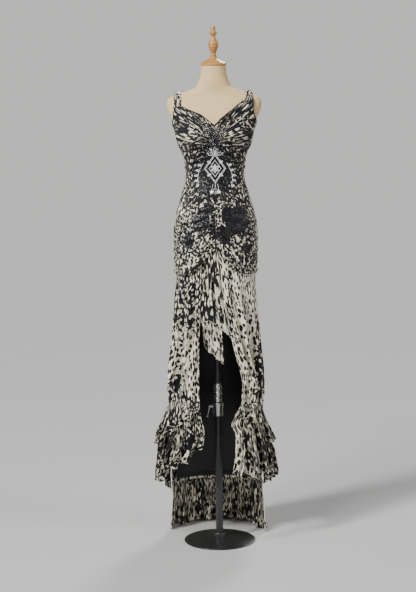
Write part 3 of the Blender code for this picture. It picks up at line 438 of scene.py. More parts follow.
def strap_surface(side):
    """A strap from under the cup, over the shoulder, to under the bodice back."""
    sign = SIGNS[side]
    strap = STRAPS[side]
    summit = 0.4

    def surface(u, v):
        x = mix(strap.inner, strap.outer, mix(0.05, 0.95, u))
        pleat = STRAP_PLEAT * round_fold(2 * u)
        shown = ease_in((v - 0.06) / 0.10) * ease_in((0.96 - v) / 0.08)
        lift = mix(TUCKED_LIFT, STRAP_LIFT + pleat, shown)
        top = shoulder_top(x)
        height = mix(strap.join - LAP, top, np.sin(clamp(v / summit) * math.pi / 2))
        front = on_form(sign * front_angle(x, height), height, lift)
        part = clamp((v - summit) / (1 - summit))
        across = mix(x, mix(strap.back_inner, strap.back_outer, u), ease_in(part))
        height = np.minimum(mix(STRAP_BACK_FOOT, top, np.cos(part * math.pi / 2)), shoulder_top(across))
        back = on_form(sign * (180 - front_angle(across, height)), height, lift)
        return np.where((v <= summit)[..., None], front, back)

    return surface


def tab_surface(u, v):
    """The narrow beaded tab that the cups are gathered into."""
    half = mix(TAB_TOP_HALF, TAB_HALF, np.minimum(1, v * 3))
    domed = EDGE_FLARE * np.sin(math.pi * u) * np.sin(math.pi * v)
    return on_form(mix(-half, half, u), mix(TAB_TOP - 2 * SEAM_GAP, TAB_BOTTOM, v), OUTER_LIFT + domed)


def midriff_surface(u, v):
    angle = mix(SEAM_TURN - SIDE, SIDE - SEAM_TURN, u)
    height = mix(UNDERBUST(np.abs(angle)) + LAP, HIP_TOP + SEAM_GAP / 2, v)
    drape = round_fold(TUCKS * clamp((v - TUCKS_FROM) / TUCKS_SHARE))
    beside = ease_in((np.abs(angle) - 14) / 20) * ease_in((SIDE - np.abs(angle)) / 12)
    lift = mix(TUCKED_LIFT, OUTER_LIFT, ease_in((v - 0.028) / 0.022))
    return on_form(angle, height, lift + TUCK_DEPTH * drape * beside)


def flared_edge(v):
    """The lower edge of the bodice and hips stands out over the skirt."""
    return HIP_EDGE_FLARE * ease_in((v - 0.86) / 0.14)


def back_surface(side):
    sign = SIGNS[side]

    def surface(u, v):
        angle = mix(SIDE + SEAM_TURN, 180 - SEAM_TURN / 2, u)
        flared = flared_edge(v) + BACK_FLARE * ease_in(1 - v * 10)
        return on_form(sign * angle, mix(BACK_TOP(angle), HIP_SEAM(180), v), OUTER_LIFT + flared)

    return surface


def hip_surface(side):
    """Half of the hip drape, with ruched folds from the side seam to the centre front."""
    sign = SIGNS[side]

    def surface(u, v):
        angle = sign * mix(SEAM_TURN, SIDE - SEAM_TURN, u)
        height = mix(HIP_TOP - SEAM_GAP / 2, HIP_SEAM(angle), v)
        taper = between_ends(u, 9, 7) * ease_in(v * 6) * mix(0.35, 1.0, v)
        ruche = RUCHE_DEPTH * taper * slanted_fold(RUCHE_FOLDS * v)
        return on_form(angle, height, OUTER_LIFT + flared_edge(v) + ruche)

    return surface


# Surfaces of the skirt

def skirt_span(side, height):
    """The two edge angles of a hanging piece at a height."""
    if side == "left":
        return SEAM_TURN - BACK_SEAM, FRONT_EDGE_LEFT(height)
    if side == "right":
        return FRONT_EDGE_RIGHT(height), BACK_SEAM - SEAM_TURN
    if side == "centre":
        return FRONT_EDGE_LEFT(height) - CENTRE_LAP, FRONT_EDGE_RIGHT(height) + CENTRE_LAP
    return BACK_SEAM + SEAM_TURN, 360 - BACK_SEAM - SEAM_TURN


def hip_seam_height(side, u):
    """The height of the hip seam above a share of a panel's width."""
    height = np.full(np.shape(u), HIP_SEAM(SIDE))
    for _ in range(6):
        angle = mix(*skirt_span(side, height), u)
        height = HIP_SEAM(np.where(angle <= 180, angle, angle - 360))
    return height


def panel_bottom(side, u):
    if side == "centre":
        return HEM_CENTRE(u)
    if side == "back":
        return TRAIN_SEAM
    return FLOUNCE_SEAMS[side](u)


def panel_surface(side):
    """A skirt panel from under the hips to its flounce seam, or to its hem at the centre."""

    def surface(u, v):
        height = mix(hip_seam_height(side, u) + LAP, panel_bottom(side, u), v)
        out = 0.0
        if side == "centre":
            shown = ease_in(u * 8 - 0.8) * ease_in((1 - u) * 8 - 0.8) * ease_in(v * 5)
            behind = CENTRE_LIFT - SKIRT_LIFT - EDGE_FLARE * (1 - fitted_share(height))
            out = behind + CENTRE_FOLD_DEPTH * round_fold(CENTRE_FOLDS * u) * shown
        return skirt_point(mix(*skirt_span(side, height), u), height, out)

    return surface


def from_back_seam(side, u):
    return u if side == "left" else 1 - u


def flounce_surface(side):
    """A flounce from its seam down to the hem, wavier towards the hem."""
    hem, seam = HEMS[side], FLOUNCE_SEAMS[side]

    def surface(u, v):
        swing = HEM_SWING * (np.sin(47 * u + 1) + 0.6 * np.sin(101 * u)) * between_ends(u, 12)
        height = mix(seam(u) + LAP, hem(u) + swing, v)
        low, high = skirt_span(side, height)
        low, high = (low - SEAM_COVER, high) if side == "left" else (low, high + SEAM_COVER)
        return ruffled_point(mix(low, high, u), height, u, v, calm=ease_in(from_back_seam(side, u) * 9))

    return surface


def ruffle_share(side, u):
    """A ruffle ends one column before its flounce's back seam."""
    inset = 1 / (COLUMNS_PER_WAVE * WAVES)
    return mix(inset, 1, u) if side == "left" else mix(0, 1 - inset, u)


def ruffle_surface(side):
    """The short ruffle that lies over the top of a flounce."""
    seam, drop = FLOUNCE_SEAMS[side], RUFFLE_DROPS[side]

    def surface(u, v):
        u = ruffle_share(side, u)
        height = seam(u) + 2 * LAP - v * (drop(u) + 2 * LAP)
        point = ruffled_point(mix(*skirt_span(side, height), u), height, u, v * 0.9)
        outward = unit(points(point[..., 0], point[..., 1], 0))
        return point + outward * (LAP_RISE * (2.1 * np.minimum(1, v / RUFFLE_HEADING) + v))[..., None]

    return surface


def train_surface(u, v):
    """The train hangs from the back skirt, then turns out and lies on the floor in soft folds."""
    angle = mix(*skirt_span("back", 0), u)
    hang = clamp(v / FLOOR_SHARE)
    lie = clamp((v - FLOOR_SHARE) / (1 - FLOOR_SHARE))
    calm = between_ends(u, 9)
    wave = np.cos(2 * math.pi * WAVES * u)
    height = mix(TRAIN_SEAM + LAP, FLOOR_LIFT, mix(hang, ease_in(hang), 0.35))
    point = ruffled_point(angle, height, u, 0.9 * hang, calm=calm)
    outward = points(np.sin(np.radians(angle)), -np.cos(np.radians(angle)), 0)
    reach = TRAIN_REACH(u) * (lie + 0.25 * ease_in(hang) ** 3) - FLOOR_SCALLOP * lie * calm * wave
    forward = TRAIN_FORWARD * ease_in(1 - u / 0.3) * ease_in(hang * 1.4 - 0.4)
    ridge = FLOOR_RIDGE * calm * (0.5 + 0.5 * wave) * np.sin(math.pi * mix(0.25, 1, lie)) * hang ** 4
    return point + outward * reach[..., None] + points(-0.2 * forward, -forward, ridge)


def lining_surface(u, v):
    """The lining hangs straight inside the folds of the back skirt, from under the form."""
    angle = mix(BACK_SEAM + LINING_INSET, 360 - BACK_SEAM - LINING_INSET, u)
    height = mix(LINING_TOP, LINING_BOTTOM, v)
    inward = CLOTH + mix(0.0008, 0.003, v) + skirt_fold(np.radians(angle), height)
    return skirt_point(angle, height, -inward)


def under_drape_surface(u, v):
    """Sewn behind the centre hem, it hangs lower than the hem and turns back at its left."""
    place = mix(*skirt_span("centre", HEM_CENTRE(0)), mix(DRAPE_FROM, DRAPE_TO, u))
    behind = CENTRE_LIFT - SKIRT_LIFT - CLOTH - 1.3 * EDGE_FLARE
    seam = skirt_point(place, mix(DRAPE_TOP_LEFT, DRAPE_TOP_RIGHT, u), behind)
    turned_back = mix(DRAPE_TURN_BACK, LAP, u) * ease_in(v)
    wave = DRAPE_WAVE * np.sin(5 * math.pi * u) * v
    length = mix(DRAPE_LENGTH_LEFT, DRAPE_LENGTH_RIGHT, u)
    return seam + points(LAP * ease_in(v), turned_back + wave, -length * v)


# Materials: sums on sockets, and one method for every other node

class Number:
    """A socket that carries a number. Sums on it add Math nodes."""

    def __init__(self, finish, socket):
        self.finish, self.socket = finish, socket

    def sum(self, operation, first, second=None):
        return self.finish.maths(operation, first, second)

    def __add__(self, other):
        return self.sum("ADD", self, other)

    def __radd__(self, other):
        return self.sum("ADD", other, self)

    def __sub__(self, other):
        return self.sum("SUBTRACT", self, other)

    def __rsub__(self, other):
        return self.sum("SUBTRACT", other, self)

    def __mul__(self, other):
        return self.sum("MULTIPLY", self, other)

    def __rmul__(self, other):
        return self.sum("MULTIPLY", other, self)

    def __truediv__(self, other):
        return self.sum("DIVIDE", self, other)

    def __abs__(self):
        return self.sum("ABSOLUTE", self)


class Nodes:
    """A node tree under construction."""

    def __init__(self, tree):
        self.tree = tree

    def put(self, socket, value):
        """Links a value into a socket, or sets it there."""
        if isinstance(value, Number):
            value = value.socket
        if isinstance(value, bpy.types.NodeSocket):
            self.tree.links.new(value, socket)
        else:
            socket.default_value = value

    def node(self, kind, settings=None, **values):
        """Adds a node: first its settings, then what goes into its sockets."""
        made = self.tree.nodes.new("ShaderNode" + kind)
        for name, value in (settings or {}).items():
            setattr(made, name, value)
        for name, value in values.items():
            self.put(made.inputs[int(name[1:]) if name[1:].isdigit() else name], value)
        return made

    def maths(self, operation, first, second=None, clamped=False):
        values = {"_0": first} if second is None else {"_0": first, "_1": second}
        made = self.node("Math", {"operation": operation, "use_clamp": clamped}, **values)
        return Number(self, made.outputs[0])

    def clamped(self, value):
        return self.maths("ADD", value, 0.0, clamped=True)

    def edge(self, value, place, slope):
        """Turns a soft value into two tones that meet where it crosses a place."""
        return self.clamped((value - place) * slope + 0.5)

    def blend(self, low, high, share):
        """A colour between two colours."""
        made = self.node("Mix", {"data_type": "RGBA"}, _0=share, _6=low, _7=high)
        return made.outputs[2]

    def noise(self, where, scale, detail=2.0, rough=0.5):
        made = self.node("TexNoise", Vector=where, Scale=scale, Detail=detail, Roughness=rough)
        return Number(self, made.outputs["Fac"])

    def turning_lines(self, along, pitch):
        return self.maths("SINE", along * (2 * math.pi / pitch)) * 0.5 + 0.5

    def weave(self, uv, warp_pitch, weft_pitch, warp_height, weft_height):
        """The height of threads that cross at their pitches, round 0.5."""
        warp, weft, _ = self.axes(self.scaled(uv, (2 * math.pi / warp_pitch, 2 * math.pi / weft_pitch, 1)))
        return self.maths("SINE", warp) * warp_height + self.maths("SINE", weft) * weft_height + 0.5

    def place(self, kind="Object"):
        return self.node("TexCoord").outputs[kind]

    def axes(self, where):
        apart = self.node("SeparateXYZ", Vector=where)
        return [Number(self, apart.outputs[k]) for k in range(3)]

    def scaled(self, where, by):
        return self.node("VectorMath", {"operation": "MULTIPLY"}, _0=where, _1=by).outputs[0]

    def shifted(self, where, by):
        return self.node("VectorMath", {"operation": "ADD"}, _0=where, _1=by).outputs[0]


class Finish(Nodes):
    """A material under construction: its node tree and its Principled shader."""

    def __init__(self, name, roughness, metallic=0.0, specular=0.5, sheen=0.0, coat=0.0):
        self.material = bpy.data.materials.new(name)
        self.material.use_nodes = True
        super().__init__(self.material.node_tree)
        self.shader = self.tree.nodes["Principled BSDF"]
        for socket, value in (
            ("Roughness", roughness), ("Metallic", metallic), ("Specular IOR Level", specular),
            ("Sheen Weight", sheen), ("Coat Weight", coat), ("Coat Roughness", 0.15),
        ):
            self.shader.inputs[socket].default_value = value

    def bump(self, height, depth, strength=1.0):
        """Feeds a height of 0 to 1 into the shader's normal; depth is in metres."""
        made = self.node("Bump", Height=height, Distance=depth, Strength=strength)
        self.put(self.shader.inputs["Normal"], made.outputs[0])

    def colour(self, value):
        self.put(self.shader.inputs["Base Color"], value)
        return self.material


CREAM = (0.84, 0.79, 0.64, 1)
SHADED_CREAM = (0.64, 0.585, 0.44, 1)
# The greyed cream is painted shade, washed over the print's cream
PAINTED_SHADE_CREAM = (0.17, 0.16, 0.125, 1)
PRINT_BLACK = (0.0045, 0.0045, 0.0065, 1)

# How the print varies: the heights of a piece's top and foot, the share of black ground at each, the
# share of fine mottling, the width of a spot, how much longer than wide it is, how large it is in its
# place, how much of the cream is greyed as painted shade, how large the cream blobs on the black ground
# are in their places, and how high the noise has to rise to make a black streak. The black shares of the
# flounces and at the foot of the panels are raised partly as painted shade.
Print = namedtuple(
    "Print", "top foot black_top black_foot fine spot_width stretch spot_size grey blob_size streak_edge",
    defaults=(0.30, 0.58),
)
PRINTS = {
    "cup": Print(1.70, 1.54, 0.74, 0.78, 0.36, 0.0125, 3.4, 0.44, 1.0, 0.25),
    "strap": Print(1.8, 1.6, 0.58, 0.58, 0.40, 0.0110, 2.4, 0.38, 0.6),
    "bodice_back": Print(1.6, 1.06, 0.60, 0.55, 0.55, 0.0150, 2.2, 0.40, 0.6),
    "midriff": Print(1.55, 1.33, 0.80, 0.76, 0.50, 0.0130, 1.7, 0.41, 1.0, 0.26),
    "hips": Print(1.33, 1.06, 0.48, 0.44, 0.58, 0.0150, 1.5, 0.40, 0.5),
    "panel_left": Print(0.74, 0.56, 0.18, 0.64, 0.08, 0.0148, 1.8, 0.345, 0.4, 0.28, 0.64),
    "panel_right": Print(0.74, 0.56, 0.06, 0.56, 0.06, 0.0148, 1.8, 0.345, 0.3, 0.28, 0.64),
    "flounce_left": Print(0.55, 0.2, 0.66, 0.64, 0.18, 0.0145, 1.9, 0.39, 1.0, 0.27, 0.62),
    "flounce_right": Print(0.55, 0.2, 0.48, 0.48, 0.16, 0.0145, 1.9, 0.39, 1.0, 0.28, 0.62),
    "centre": Print(1.15, 0.85, 0.60, 0.42, 0.20, 0.0150, 2.6, 0.40, 0.6),
    "under_drape": Print(0.9, 0.7, 0.03, 0.03, 0.04, 0.0190, 1.3, 0.36, 0.8, 0.30, 0.68),
    "back_skirt": Print(1.06, 0.6, 0.50, 0.28, 0.18, 0.0155, 2.2, 0.40, 0.4),
    "train": Print(0.2, 0.0, 0.34, 0.40, 0.10, 0.0155, 1.8, 0.38, 1.0, 0.28, 0.62),
}

# A place on the front, or behind, where the print changes, at some places partly as painted shade and
# painted light: its centre, half width and half height
Patch = namedtuple("Patch", "x height half_width half_height behind", defaults=(False,))
BEADED_PANEL = Patch(0.0, 1.462, 0.074, 0.106)
SEQUINNED = table(Patch, (
    (-0.05, 1.262, 0.034, 0.052), (-0.026, 1.312, 0.02, 0.018), (0.078, 1.268, 0.044, 0.06),
    (0.034, 1.218, 0.026, 0.034), (0.04, 1.296, 0.018, 0.026), (-0.104, 1.192, 0.014, 0.03),
    (-0.01, 1.245, 0.01, 0.044), (0.112, 1.16, 0.018, 0.016),
))
# Black ground at the cups' edges and under the bust: partly print, partly painted shade where the cups turn
# away from the light
CUP_SHADES = {
    "left": table(Patch, (
        (-0.096, 1.64, 0.022, 0.05), (-0.06, 1.645, 0.04, 0.016), (-0.11, 1.548, 0.05, 0.018),
        (-0.03, 1.618, 0.024, 0.014),
    )),
    "right": table(Patch, (
        (0.1, 1.655, 0.024, 0.06), (0.06, 1.655, 0.03, 0.016), (0.11, 1.552, 0.05, 0.02),
        (0.104, 1.6, 0.016, 0.04),
    )),
}
# Cream ground over the front of each bust: partly print, partly a painted highlight where the light falls on
# it
CUP_LIGHTS = {
    "left": table(Patch, ((-0.07, 1.585, 0.05, 0.022), (-0.01, 1.612, 0.016, 0.01))),
    "right": table(Patch, ((0.055, 1.59, 0.046, 0.014), (0.01, 1.612, 0.016, 0.01))),
}
HIP_LIGHTS = table(Patch, (
    (-0.098, 1.262, 0.024, 0.042), (0.01, 1.246, 0.018, 0.046), (-0.055, 1.15, 0.05, 0.016),
    (0.06, 1.14, 0.04, 0.014),
))
# Black ground on the midriff just under the bust: partly print, partly painted shade under the bust
UNDERBUST_SHADES = table(Patch, ((-0.09, 1.52, 0.04, 0.026), (0.095, 1.52, 0.04, 0.026)))
# Black ground on the panels: partly print, partly painted shade in narrow strips down the folds by the front
# edges and low at the sides
PANEL_SHADES = {
    "left": table(Patch, (
        (-0.115, 0.97, 0.08, 0.12), (-0.03, 0.93, 0.014, 0.18), (-0.165, 0.6, 0.05, 0.06),
    )),
    "right": table(Patch, ((0.052, 0.96, 0.01, 0.14), (0.168, 0.7, 0.03, 0.1))),
}
# Painted shade: black ground in the dark gaps between the train's folds, on its inside behind the skirt
TRAIN_SHADES = table(Patch, (
    (-0.07, 0.1, 0.012, 0.12, True), (0.0, 0.09, 0.026, 0.13, True),
    (0.072, 0.11, 0.01, 0.11, True), (0.128, 0.06, 0.012, 0.08, True),
))


def oval_spots(finish, where, width, size, ragged):
    """1 inside uneven oval spots, 0 between them."""
    wander = finish.node("TexNoise", Vector=where, Scale=1 / width, Detail=2.0)
    pushed = finish.node(
        "VectorMath", {"operation": "MULTIPLY_ADD"}, _0=wander.outputs["Color"],
        _1=(ragged * width,) * 3, _2=where,
    )
    cells = finish.node(
        "TexVoronoi", {"voronoi_dimensions": "2D"}, Vector=pushed.outputs[0], Scale=1 / width, Randomness=0.8,
    )
    chance = finish.axes(cells.outputs["Color"])[0]
    radius = size * (0.70 + 0.55 * chance)
    return finish.clamped((radius - Number(finish, cells.outputs["Distance"])) * 14 + 0.5)


def patch_mask(finish, where, patch):
    """1 inside a ragged patch on the front or the back of the body, with small islands round it."""
    x, y, z = finish.axes(where)
    coarse = finish.noise(where, 38.0)
    fine = finish.noise(where, 130.0, 1.0)
    across = (x - patch.x) / patch.half_width
    up = (z - patch.height) / patch.half_height
    here = finish.maths("GREATER_THAN" if patch.behind else "LESS_THAN", y, 0.0)
    edge = 1.0 - across * across - up * up + (coarse - 0.5) * 3.2 + (fine - 0.5) * 2.6
    return finish.clamped(edge * 6) * here


def printed_chiffon(name, look, black_print_and_shade=(), light=(), black=()):
    """Chiffon with an animal print in black and cream. The spots run along the UV map's V, in metres.
    The ground is black in the dark places and cream in the light ones, and the black places are plain.
    The dark places are partly painted shade and the light ones partly painted light, and washes of
    greyed cream are painted shade."""
    finish = Finish(name, 0.74, specular=0.22, sheen=0.05)
    uv = finish.place("UV")
    along = finish.scaled(uv, (1, 1 / look.stretch, 1))
    body = finish.place()
    height = finish.axes(body)[2]
    streaks = finish.edge(finish.noise(finish.scaled(uv, (1, 0.16, 1)), 105.0), look.streak_edge, 16)
    ovals = (1 - oval_spots(finish, along, look.spot_width, look.spot_size, 0.5)) * (1 - streaks)
    apart = finish.shifted(along, (0.37, 0.61, 0))
    blobs = oval_spots(finish, apart, look.spot_width * 1.1, look.blob_size, 0.9)
    mottle = finish.edge(finish.noise(finish.scaled(uv, (1, 0.75, 1)), 135.0), 0.56, 14)
    downward = finish.clamped((look.top - height) / (look.top - look.foot))
    black_share = look.black_top + downward * (look.black_foot - look.black_top)
    drift = finish.noise(finish.scaled(uv, (1, 0.45, 1)), 13.0, 3.0, 0.6)
    black_ground_and_shade = finish.clamped((black_share - (drift - 0.32) * 2.8) * 9 + 0.5)
    # Painted shade, partly black print: the dark patches turn the ground black
    for patch in black_print_and_shade:
        black_ground_and_shade = black_ground_and_shade + (1 - black_ground_and_shade) * patch_mask(finish, body, patch)
    # Painted light, partly pale print: the light patches turn the ground cream
    for patch in light:
        black_ground_and_shade = black_ground_and_shade * (1 - patch_mask(finish, body, patch))
    cream = ovals + (blobs - ovals) * black_ground_and_shade
    grain = finish.noise(finish.shifted(uv, (2.3, 1.1, 0)), 19.0)
    mottled = finish.clamped((look.fine - (grain - 0.32) * 2.8) * 8 + 0.5)
    cream = finish.edge(cream + (mottle - cream) * mottled, 0.5, 6)
    for patch in black:
        cream = cream * (1 - patch_mask(finish, body, patch))
    cream = finish.clamped(cream)
    tone = finish.noise(uv, 60.0)
    pale = finish.blend(SHADED_CREAM, CREAM, finish.clamped(tone * 1.6 - 0.2))
    # Painted shade: washes of greyed cream darken the print's cream, as far as the look's share asks
    shade_wash = finish.noise(finish.scaled(finish.shifted(uv, (0.7, 3.1, 0)), (1, 0.5, 1)), 42.0, 3.0, 0.6)
    pale = finish.blend(pale, PAINTED_SHADE_CREAM, finish.clamped((shade_wash - 0.42) * 6) * look.grey)
    finish.bump(finish.weave(uv, 0.0011, 0.0011, 0.25, 0.25), 0.00005, 0.5)
    return finish.colour(finish.blend(PRINT_BLACK, pale, cream))


def black_satin():
    finish = Finish("black_satin_lining", 0.42, specular=0.35, sheen=0.05)
    uv = finish.place("UV")
    drift = finish.noise(uv, 25.0, 3.0)
    finish.bump(finish.weave(uv, 0.0009, 0.0016, 0.3, 0.2), 0.00004, 0.5)
    return finish.colour(finish.blend((0.005, 0.005, 0.007, 1), (0.011, 0.011, 0.014, 1), drift))


def black_binding():
    """The bias binding along the neckline and armholes: black, with a fleck of the print here and there."""
    finish = Finish("black_bias_binding", 0.66, specular=0.3, sheen=0.08)
    uv = finish.place("UV")
    flecks = finish.edge(finish.noise(finish.scaled(uv, (1, 0.6, 1)), 120.0, 1.0), 0.66, 16)
    warp, weft, _ = finish.axes(finish.scaled(uv, (2 * math.pi / 0.0012,) * 3))
    finish.bump(finish.maths("SINE", warp + weft) * 0.5 + 0.5, 0.00006, 0.5)
    return finish.colour(finish.blend((0.009, 0.009, 0.012, 1), SHADED_CREAM, flecks))


def rolled_edge_thread():
    """The hand-rolled hems: the print's cream edge on, broken by black."""
    finish = Finish("rolled_hem_edge", 0.70, specular=0.25)
    breaks = finish.edge(finish.noise(finish.place(), 75.0), 0.50, 12)
    return finish.colour(finish.blend(CREAM, (0.012, 0.012, 0.015, 1), breaks))


def black_net():
    """The ground under the beads."""
    finish = Finish("black_beading_ground", 0.55, specular=0.3, sheen=0.08)
    uv = finish.place("UV")
    finish.bump(finish.weave(uv, 0.0016, 0.0016, 0.25, 0.25), 0.0002, 0.6)
    drift = finish.noise(uv, 220.0)
    return finish.colour(finish.blend((0.005, 0.005, 0.007, 1), (0.016, 0.016, 0.021, 1), drift))


def form_cotton():
    """The cream cotton jersey on the form, with its seams as fine grooves."""
    finish = Finish("cream_form_cotton", 0.86, specular=0.25, sheen=0.10)
    uv = finish.place("UV")
    body = finish.place()
    x, y, z = finish.axes(body)
    drift = finish.noise(body, 9.0, 3.0)
    fleck = finish.noise(body, 900.0)
    warm = finish.blend((0.53, 0.385, 0.185, 1), (0.61, 0.455, 0.235, 1), drift)
    warm = finish.blend(warm, (0.44, 0.315, 0.15, 1), finish.clamped(fleck * 1.2 - 0.55))
    knit = finish.weave(uv, 0.0010, 0.0008, 0.10, 0.10)
    neck_line = 1 - finish.clamped(abs(z - y * math.tan(NECK_TILT) - (NECK_TOP - NECK_SEAM_DROP)) * 900)
    side_line = 1 - finish.clamped(abs(y - 0.001) * 1100)
    back_line = (1 - finish.clamped(abs(x) * 1100)) * finish.maths("GREATER_THAN", y, 0.0)
    seams = finish.clamped(neck_line + side_line + back_line)
    finish.bump(knit - seams * 0.9, 0.0004, 0.6)
    return finish.colour(finish.blend(warm, (0.30, 0.22, 0.12, 1), seams * 0.55))


def waxed_thread():
    finish = Finish("waxed_linen_thread", 0.6)
    drift = finish.noise(finish.place(), 500.0)
    return finish.colour(finish.blend((0.42, 0.33, 0.20, 1), (0.58, 0.47, 0.30, 1), drift))


def turned_pine():
    """Pale varnished wood: long grain up the finial and fine turning marks round it."""
    finish = Finish("turned_pine", 0.42, specular=0.4, coat=0.12)
    body = finish.place()
    grain = finish.noise(finish.scaled(body, (1, 1, 0.10)), 260.0, 4.0, 0.6)
    rings = finish.noise(finish.scaled(body, (1, 0.35, 0.06)), 60.0)
    z = finish.axes(body)[2]
    finish.bump(finish.turning_lines(z, 0.0016) * 0.5 + grain * 0.5, 0.00012, 0.5)
    pale = finish.blend((0.34, 0.160, 0.036, 1), (0.42, 0.215, 0.058, 1), rings)
    return finish.colour(finish.blend(pale, (0.24, 0.105, 0.024, 1), finish.clamped(grain * 2.2 - 1.0)))


def painted_steel():
    """Black paint with fine orange peel, dust and a little wear."""
    finish = Finish("black_painted_steel", 0.38, coat=0.2)
    body = finish.place()
    peel = finish.noise(body, 700.0)
    dust = finish.noise(body, 30.0, 4.0, 0.65)
    finish.bump(peel, 0.00008, 0.5)
    finish.put(finish.shader.inputs["Roughness"], 0.30 + dust * 0.22)
    dusty = finish.clamped(dust * 2 - 0.9)
    return finish.colour(finish.blend((0.012, 0.012, 0.013, 1), (0.034, 0.033, 0.031, 1), dusty))


def bright_plating():
    """Plated steel with faint turning lines and smudges."""
    finish = Finish("bright_plated_steel", 0.2, metallic=1.0)
    body = finish.place()
    z = finish.axes(body)[2]
    smudge = finish.noise(body, 50.0, 4.0, 0.6)
    finish.bump(finish.turning_lines(z, 0.0009), 0.00003, 0.4)
    finish.put(finish.shader.inputs["Roughness"], 0.14 + smudge * 0.26)
    return finish.colour(finish.blend((0.50, 0.50, 0.51, 1), (0.66, 0.66, 0.67, 1), smudge))


def sequin_black():
    finish = Finish("black_sequins", 0.24, specular=0.3, coat=0.08)
    drift = finish.noise(finish.place(), 400.0, 1.0)
    return finish.colour(finish.blend((0.002, 0.002, 0.003, 1), (0.010, 0.010, 0.014, 1), drift))


def silver_beads():
    finish = Finish("silver_lined_beads", 0.16, metallic=0.35, coat=0.5)
    drift = finish.noise(finish.place(), 300.0, 1.0)
    bright = finish.clamped(drift * 2 - 0.4)
    return finish.colour(finish.blend((0.62, 0.63, 0.65, 1), (0.94, 0.94, 0.92, 1), bright))


# Making the pieces

# Faces across and down each fine shell
FACES = {
    "cup": (184, 50), "strap": (20, 120), "bodice_back": (50, 112), "midriff": (150, 92), "tab": (24, 40),
    "hips": (96, 132), "panel": (170, 76), "flounce": (290, 46), "ruffle": (270, 26), "centre": (120, 76),
    "under_drape": (64, 44), "back_skirt": (160, 90), "train": (260, 60), "lining": (60, 30),
}
Piece = namedtuple("Piece", "object grid normals")
PRINT_STEP = (0.43, 0.29)       # how far the print is moved on from one cut piece to the next
HEM_RADIUS = 0.0011
LEAST_FILLED = 0.3              # the least share of its flat size that a piece is said to fill
cut_pieces = []


def face_normals(grid, behind=None):
    """Unit normals of a grid of points, away from the stand's axis or from a point behind."""
    normals = unit(np.cross(np.gradient(grid, axis=0), np.gradient(grid, axis=1)))
    centre = grid * (0, 0, 1) if behind is None else np.array(behind)
    return normals if (normals * (grid - centre)).sum() > 0 else -normals


def mesh_object(name, verts, faces, material, uvs=None):
    mesh = bpy.data.meshes.new(name)
    mesh.from_pydata(np.asarray(verts).reshape(-1, 3).tolist(), [], [list(map(int, f)) for f in faces])
    mesh.materials.append(material)
    if uvs is not None:
        layer = mesh.uv_layers.new(name="cloth")
        corners = np.empty(len(mesh.loops), dtype=np.int32)
        mesh.loops.foreach_get("vertex_index", corners)
        layer.data.foreach_set("uv", np.asarray(uvs, np.float32)[corners].ravel())
    mesh.polygons.foreach_set("use_smooth", [True] * len(mesh.polygons))
    made = bpy.data.objects.new(name, mesh)
    bpy.context.scene.collection.objects.link(made)
    return made


def ridden(made, body=BODY):
    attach(made, body)
    return made


def grid_faces(rows, columns, start=0, flipped=False):
    j, i = np.meshgrid(np.arange(rows - 1), np.arange(columns - 1), indexing="ij")
    a = (start + j * columns + i).ravel()
    faces = np.stack((a, a + 1, a + columns + 1, a + columns), axis=-1)
    return faces[:, ::-1] if flipped else faces


def outline(rows, columns):
    """The numbers of the grid's edge points, in order round it."""
    top = np.arange(columns)
    right = np.arange(1, rows) * columns + columns - 1
    bottom = (rows - 1) * columns + np.arange(columns - 2, -1, -1)
    left = np.arange(rows - 2, 0, -1) * columns
    return np.concatenate((top, right, bottom, left))


def lengths(grid, axis):
    return np.linalg.norm(np.diff(grid, axis=axis), axis=-1).sum(axis=axis)


def shell(name, outer, normals, thickness, material, uvs):
    """A closed thin shell: the outer grid, the same grid moved in, and the rim between them."""
    rows, columns = outer.shape[:2]
    count = rows * columns
    edge = outline(rows, columns)
    ahead = np.roll(edge, -1)
    rim = np.stack((edge, ahead, ahead + count, edge + count), axis=-1)
    turned = np.cross(np.gradient(outer, axis=1), np.gradient(outer, axis=0))
    flipped = (turned * normals).sum() < 0
    faces = np.concatenate((
        grid_faces(rows, columns, 0, flipped), grid_faces(rows, columns, count, not flipped),
        rim if flipped else rim[:, ::-1],
    ))
    verts = np.concatenate((outer.reshape(-1, 3), (outer - normals * thickness).reshape(-1, 3)))
    flat = uvs.reshape(-1, 2)
    return mesh_object(name, verts, faces, material, np.concatenate((flat, flat)))


def no_trims(piece):
    return []


def cloth(name, surface, faces, material, node, relief=None, behind=None,
          trims=no_trims):
    """A thin cloth shell on a surface. Relief adds creases, and trims makes its hems and bindings."""
    across, down = FACES[faces]
    u, v = np.meshgrid(np.linspace(0, 1, across + 1), np.linspace(0, 1, down + 1))
    outer = surface(u, v)
    normals = face_normals(outer, behind)
    if relief is not None:
        wide, long = lengths(outer, 1)[:, None], lengths(outer, 0).mean()
        outer = outer + normals * relief(u, v, wide, long)[..., None]
        normals = face_normals(outer, behind)
    wide, long = lengths(outer, 1), lengths(outer, 0)
    flat = np.stack((u * wide.max(), v * long.mean()), axis=-1) + len(cut_pieces) * np.array(PRINT_STEP)
    made = ridden(shell(name, outer, normals, SHELL, material, flat))
    cut_pieces.append(made)
    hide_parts(node)
    piece = Piece(made, outer, normals)
    cell = np.linalg.norm(np.cross(np.gradient(outer, axis=0), np.gradient(outer, axis=1)), axis=-1)
    cut = (float(wide.max()), float(long.max()))
    area = clamp(float(cell[:-1, :-1].sum()), LEAST_FILLED * cut[0] * cut[1], cut[0] * cut[1])
    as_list(trims(piece))
    return piece


# Creases: soft ridges, or troughs of a negative depth, from one place of a piece to another in shares
# of its width and length. Width, depth and bend (how far the middle bows out) are in metres.
Crease = namedtuple("Crease", "u v u_end v_end width depth bend")

# Gathers run down a piece that is drawn together at one end: place and width in shares across, where
# each begins and ends in shares down, how far it leans across, and its depth in metres
Gather = namedtuple("Gather", "u width v v_end lean depth")

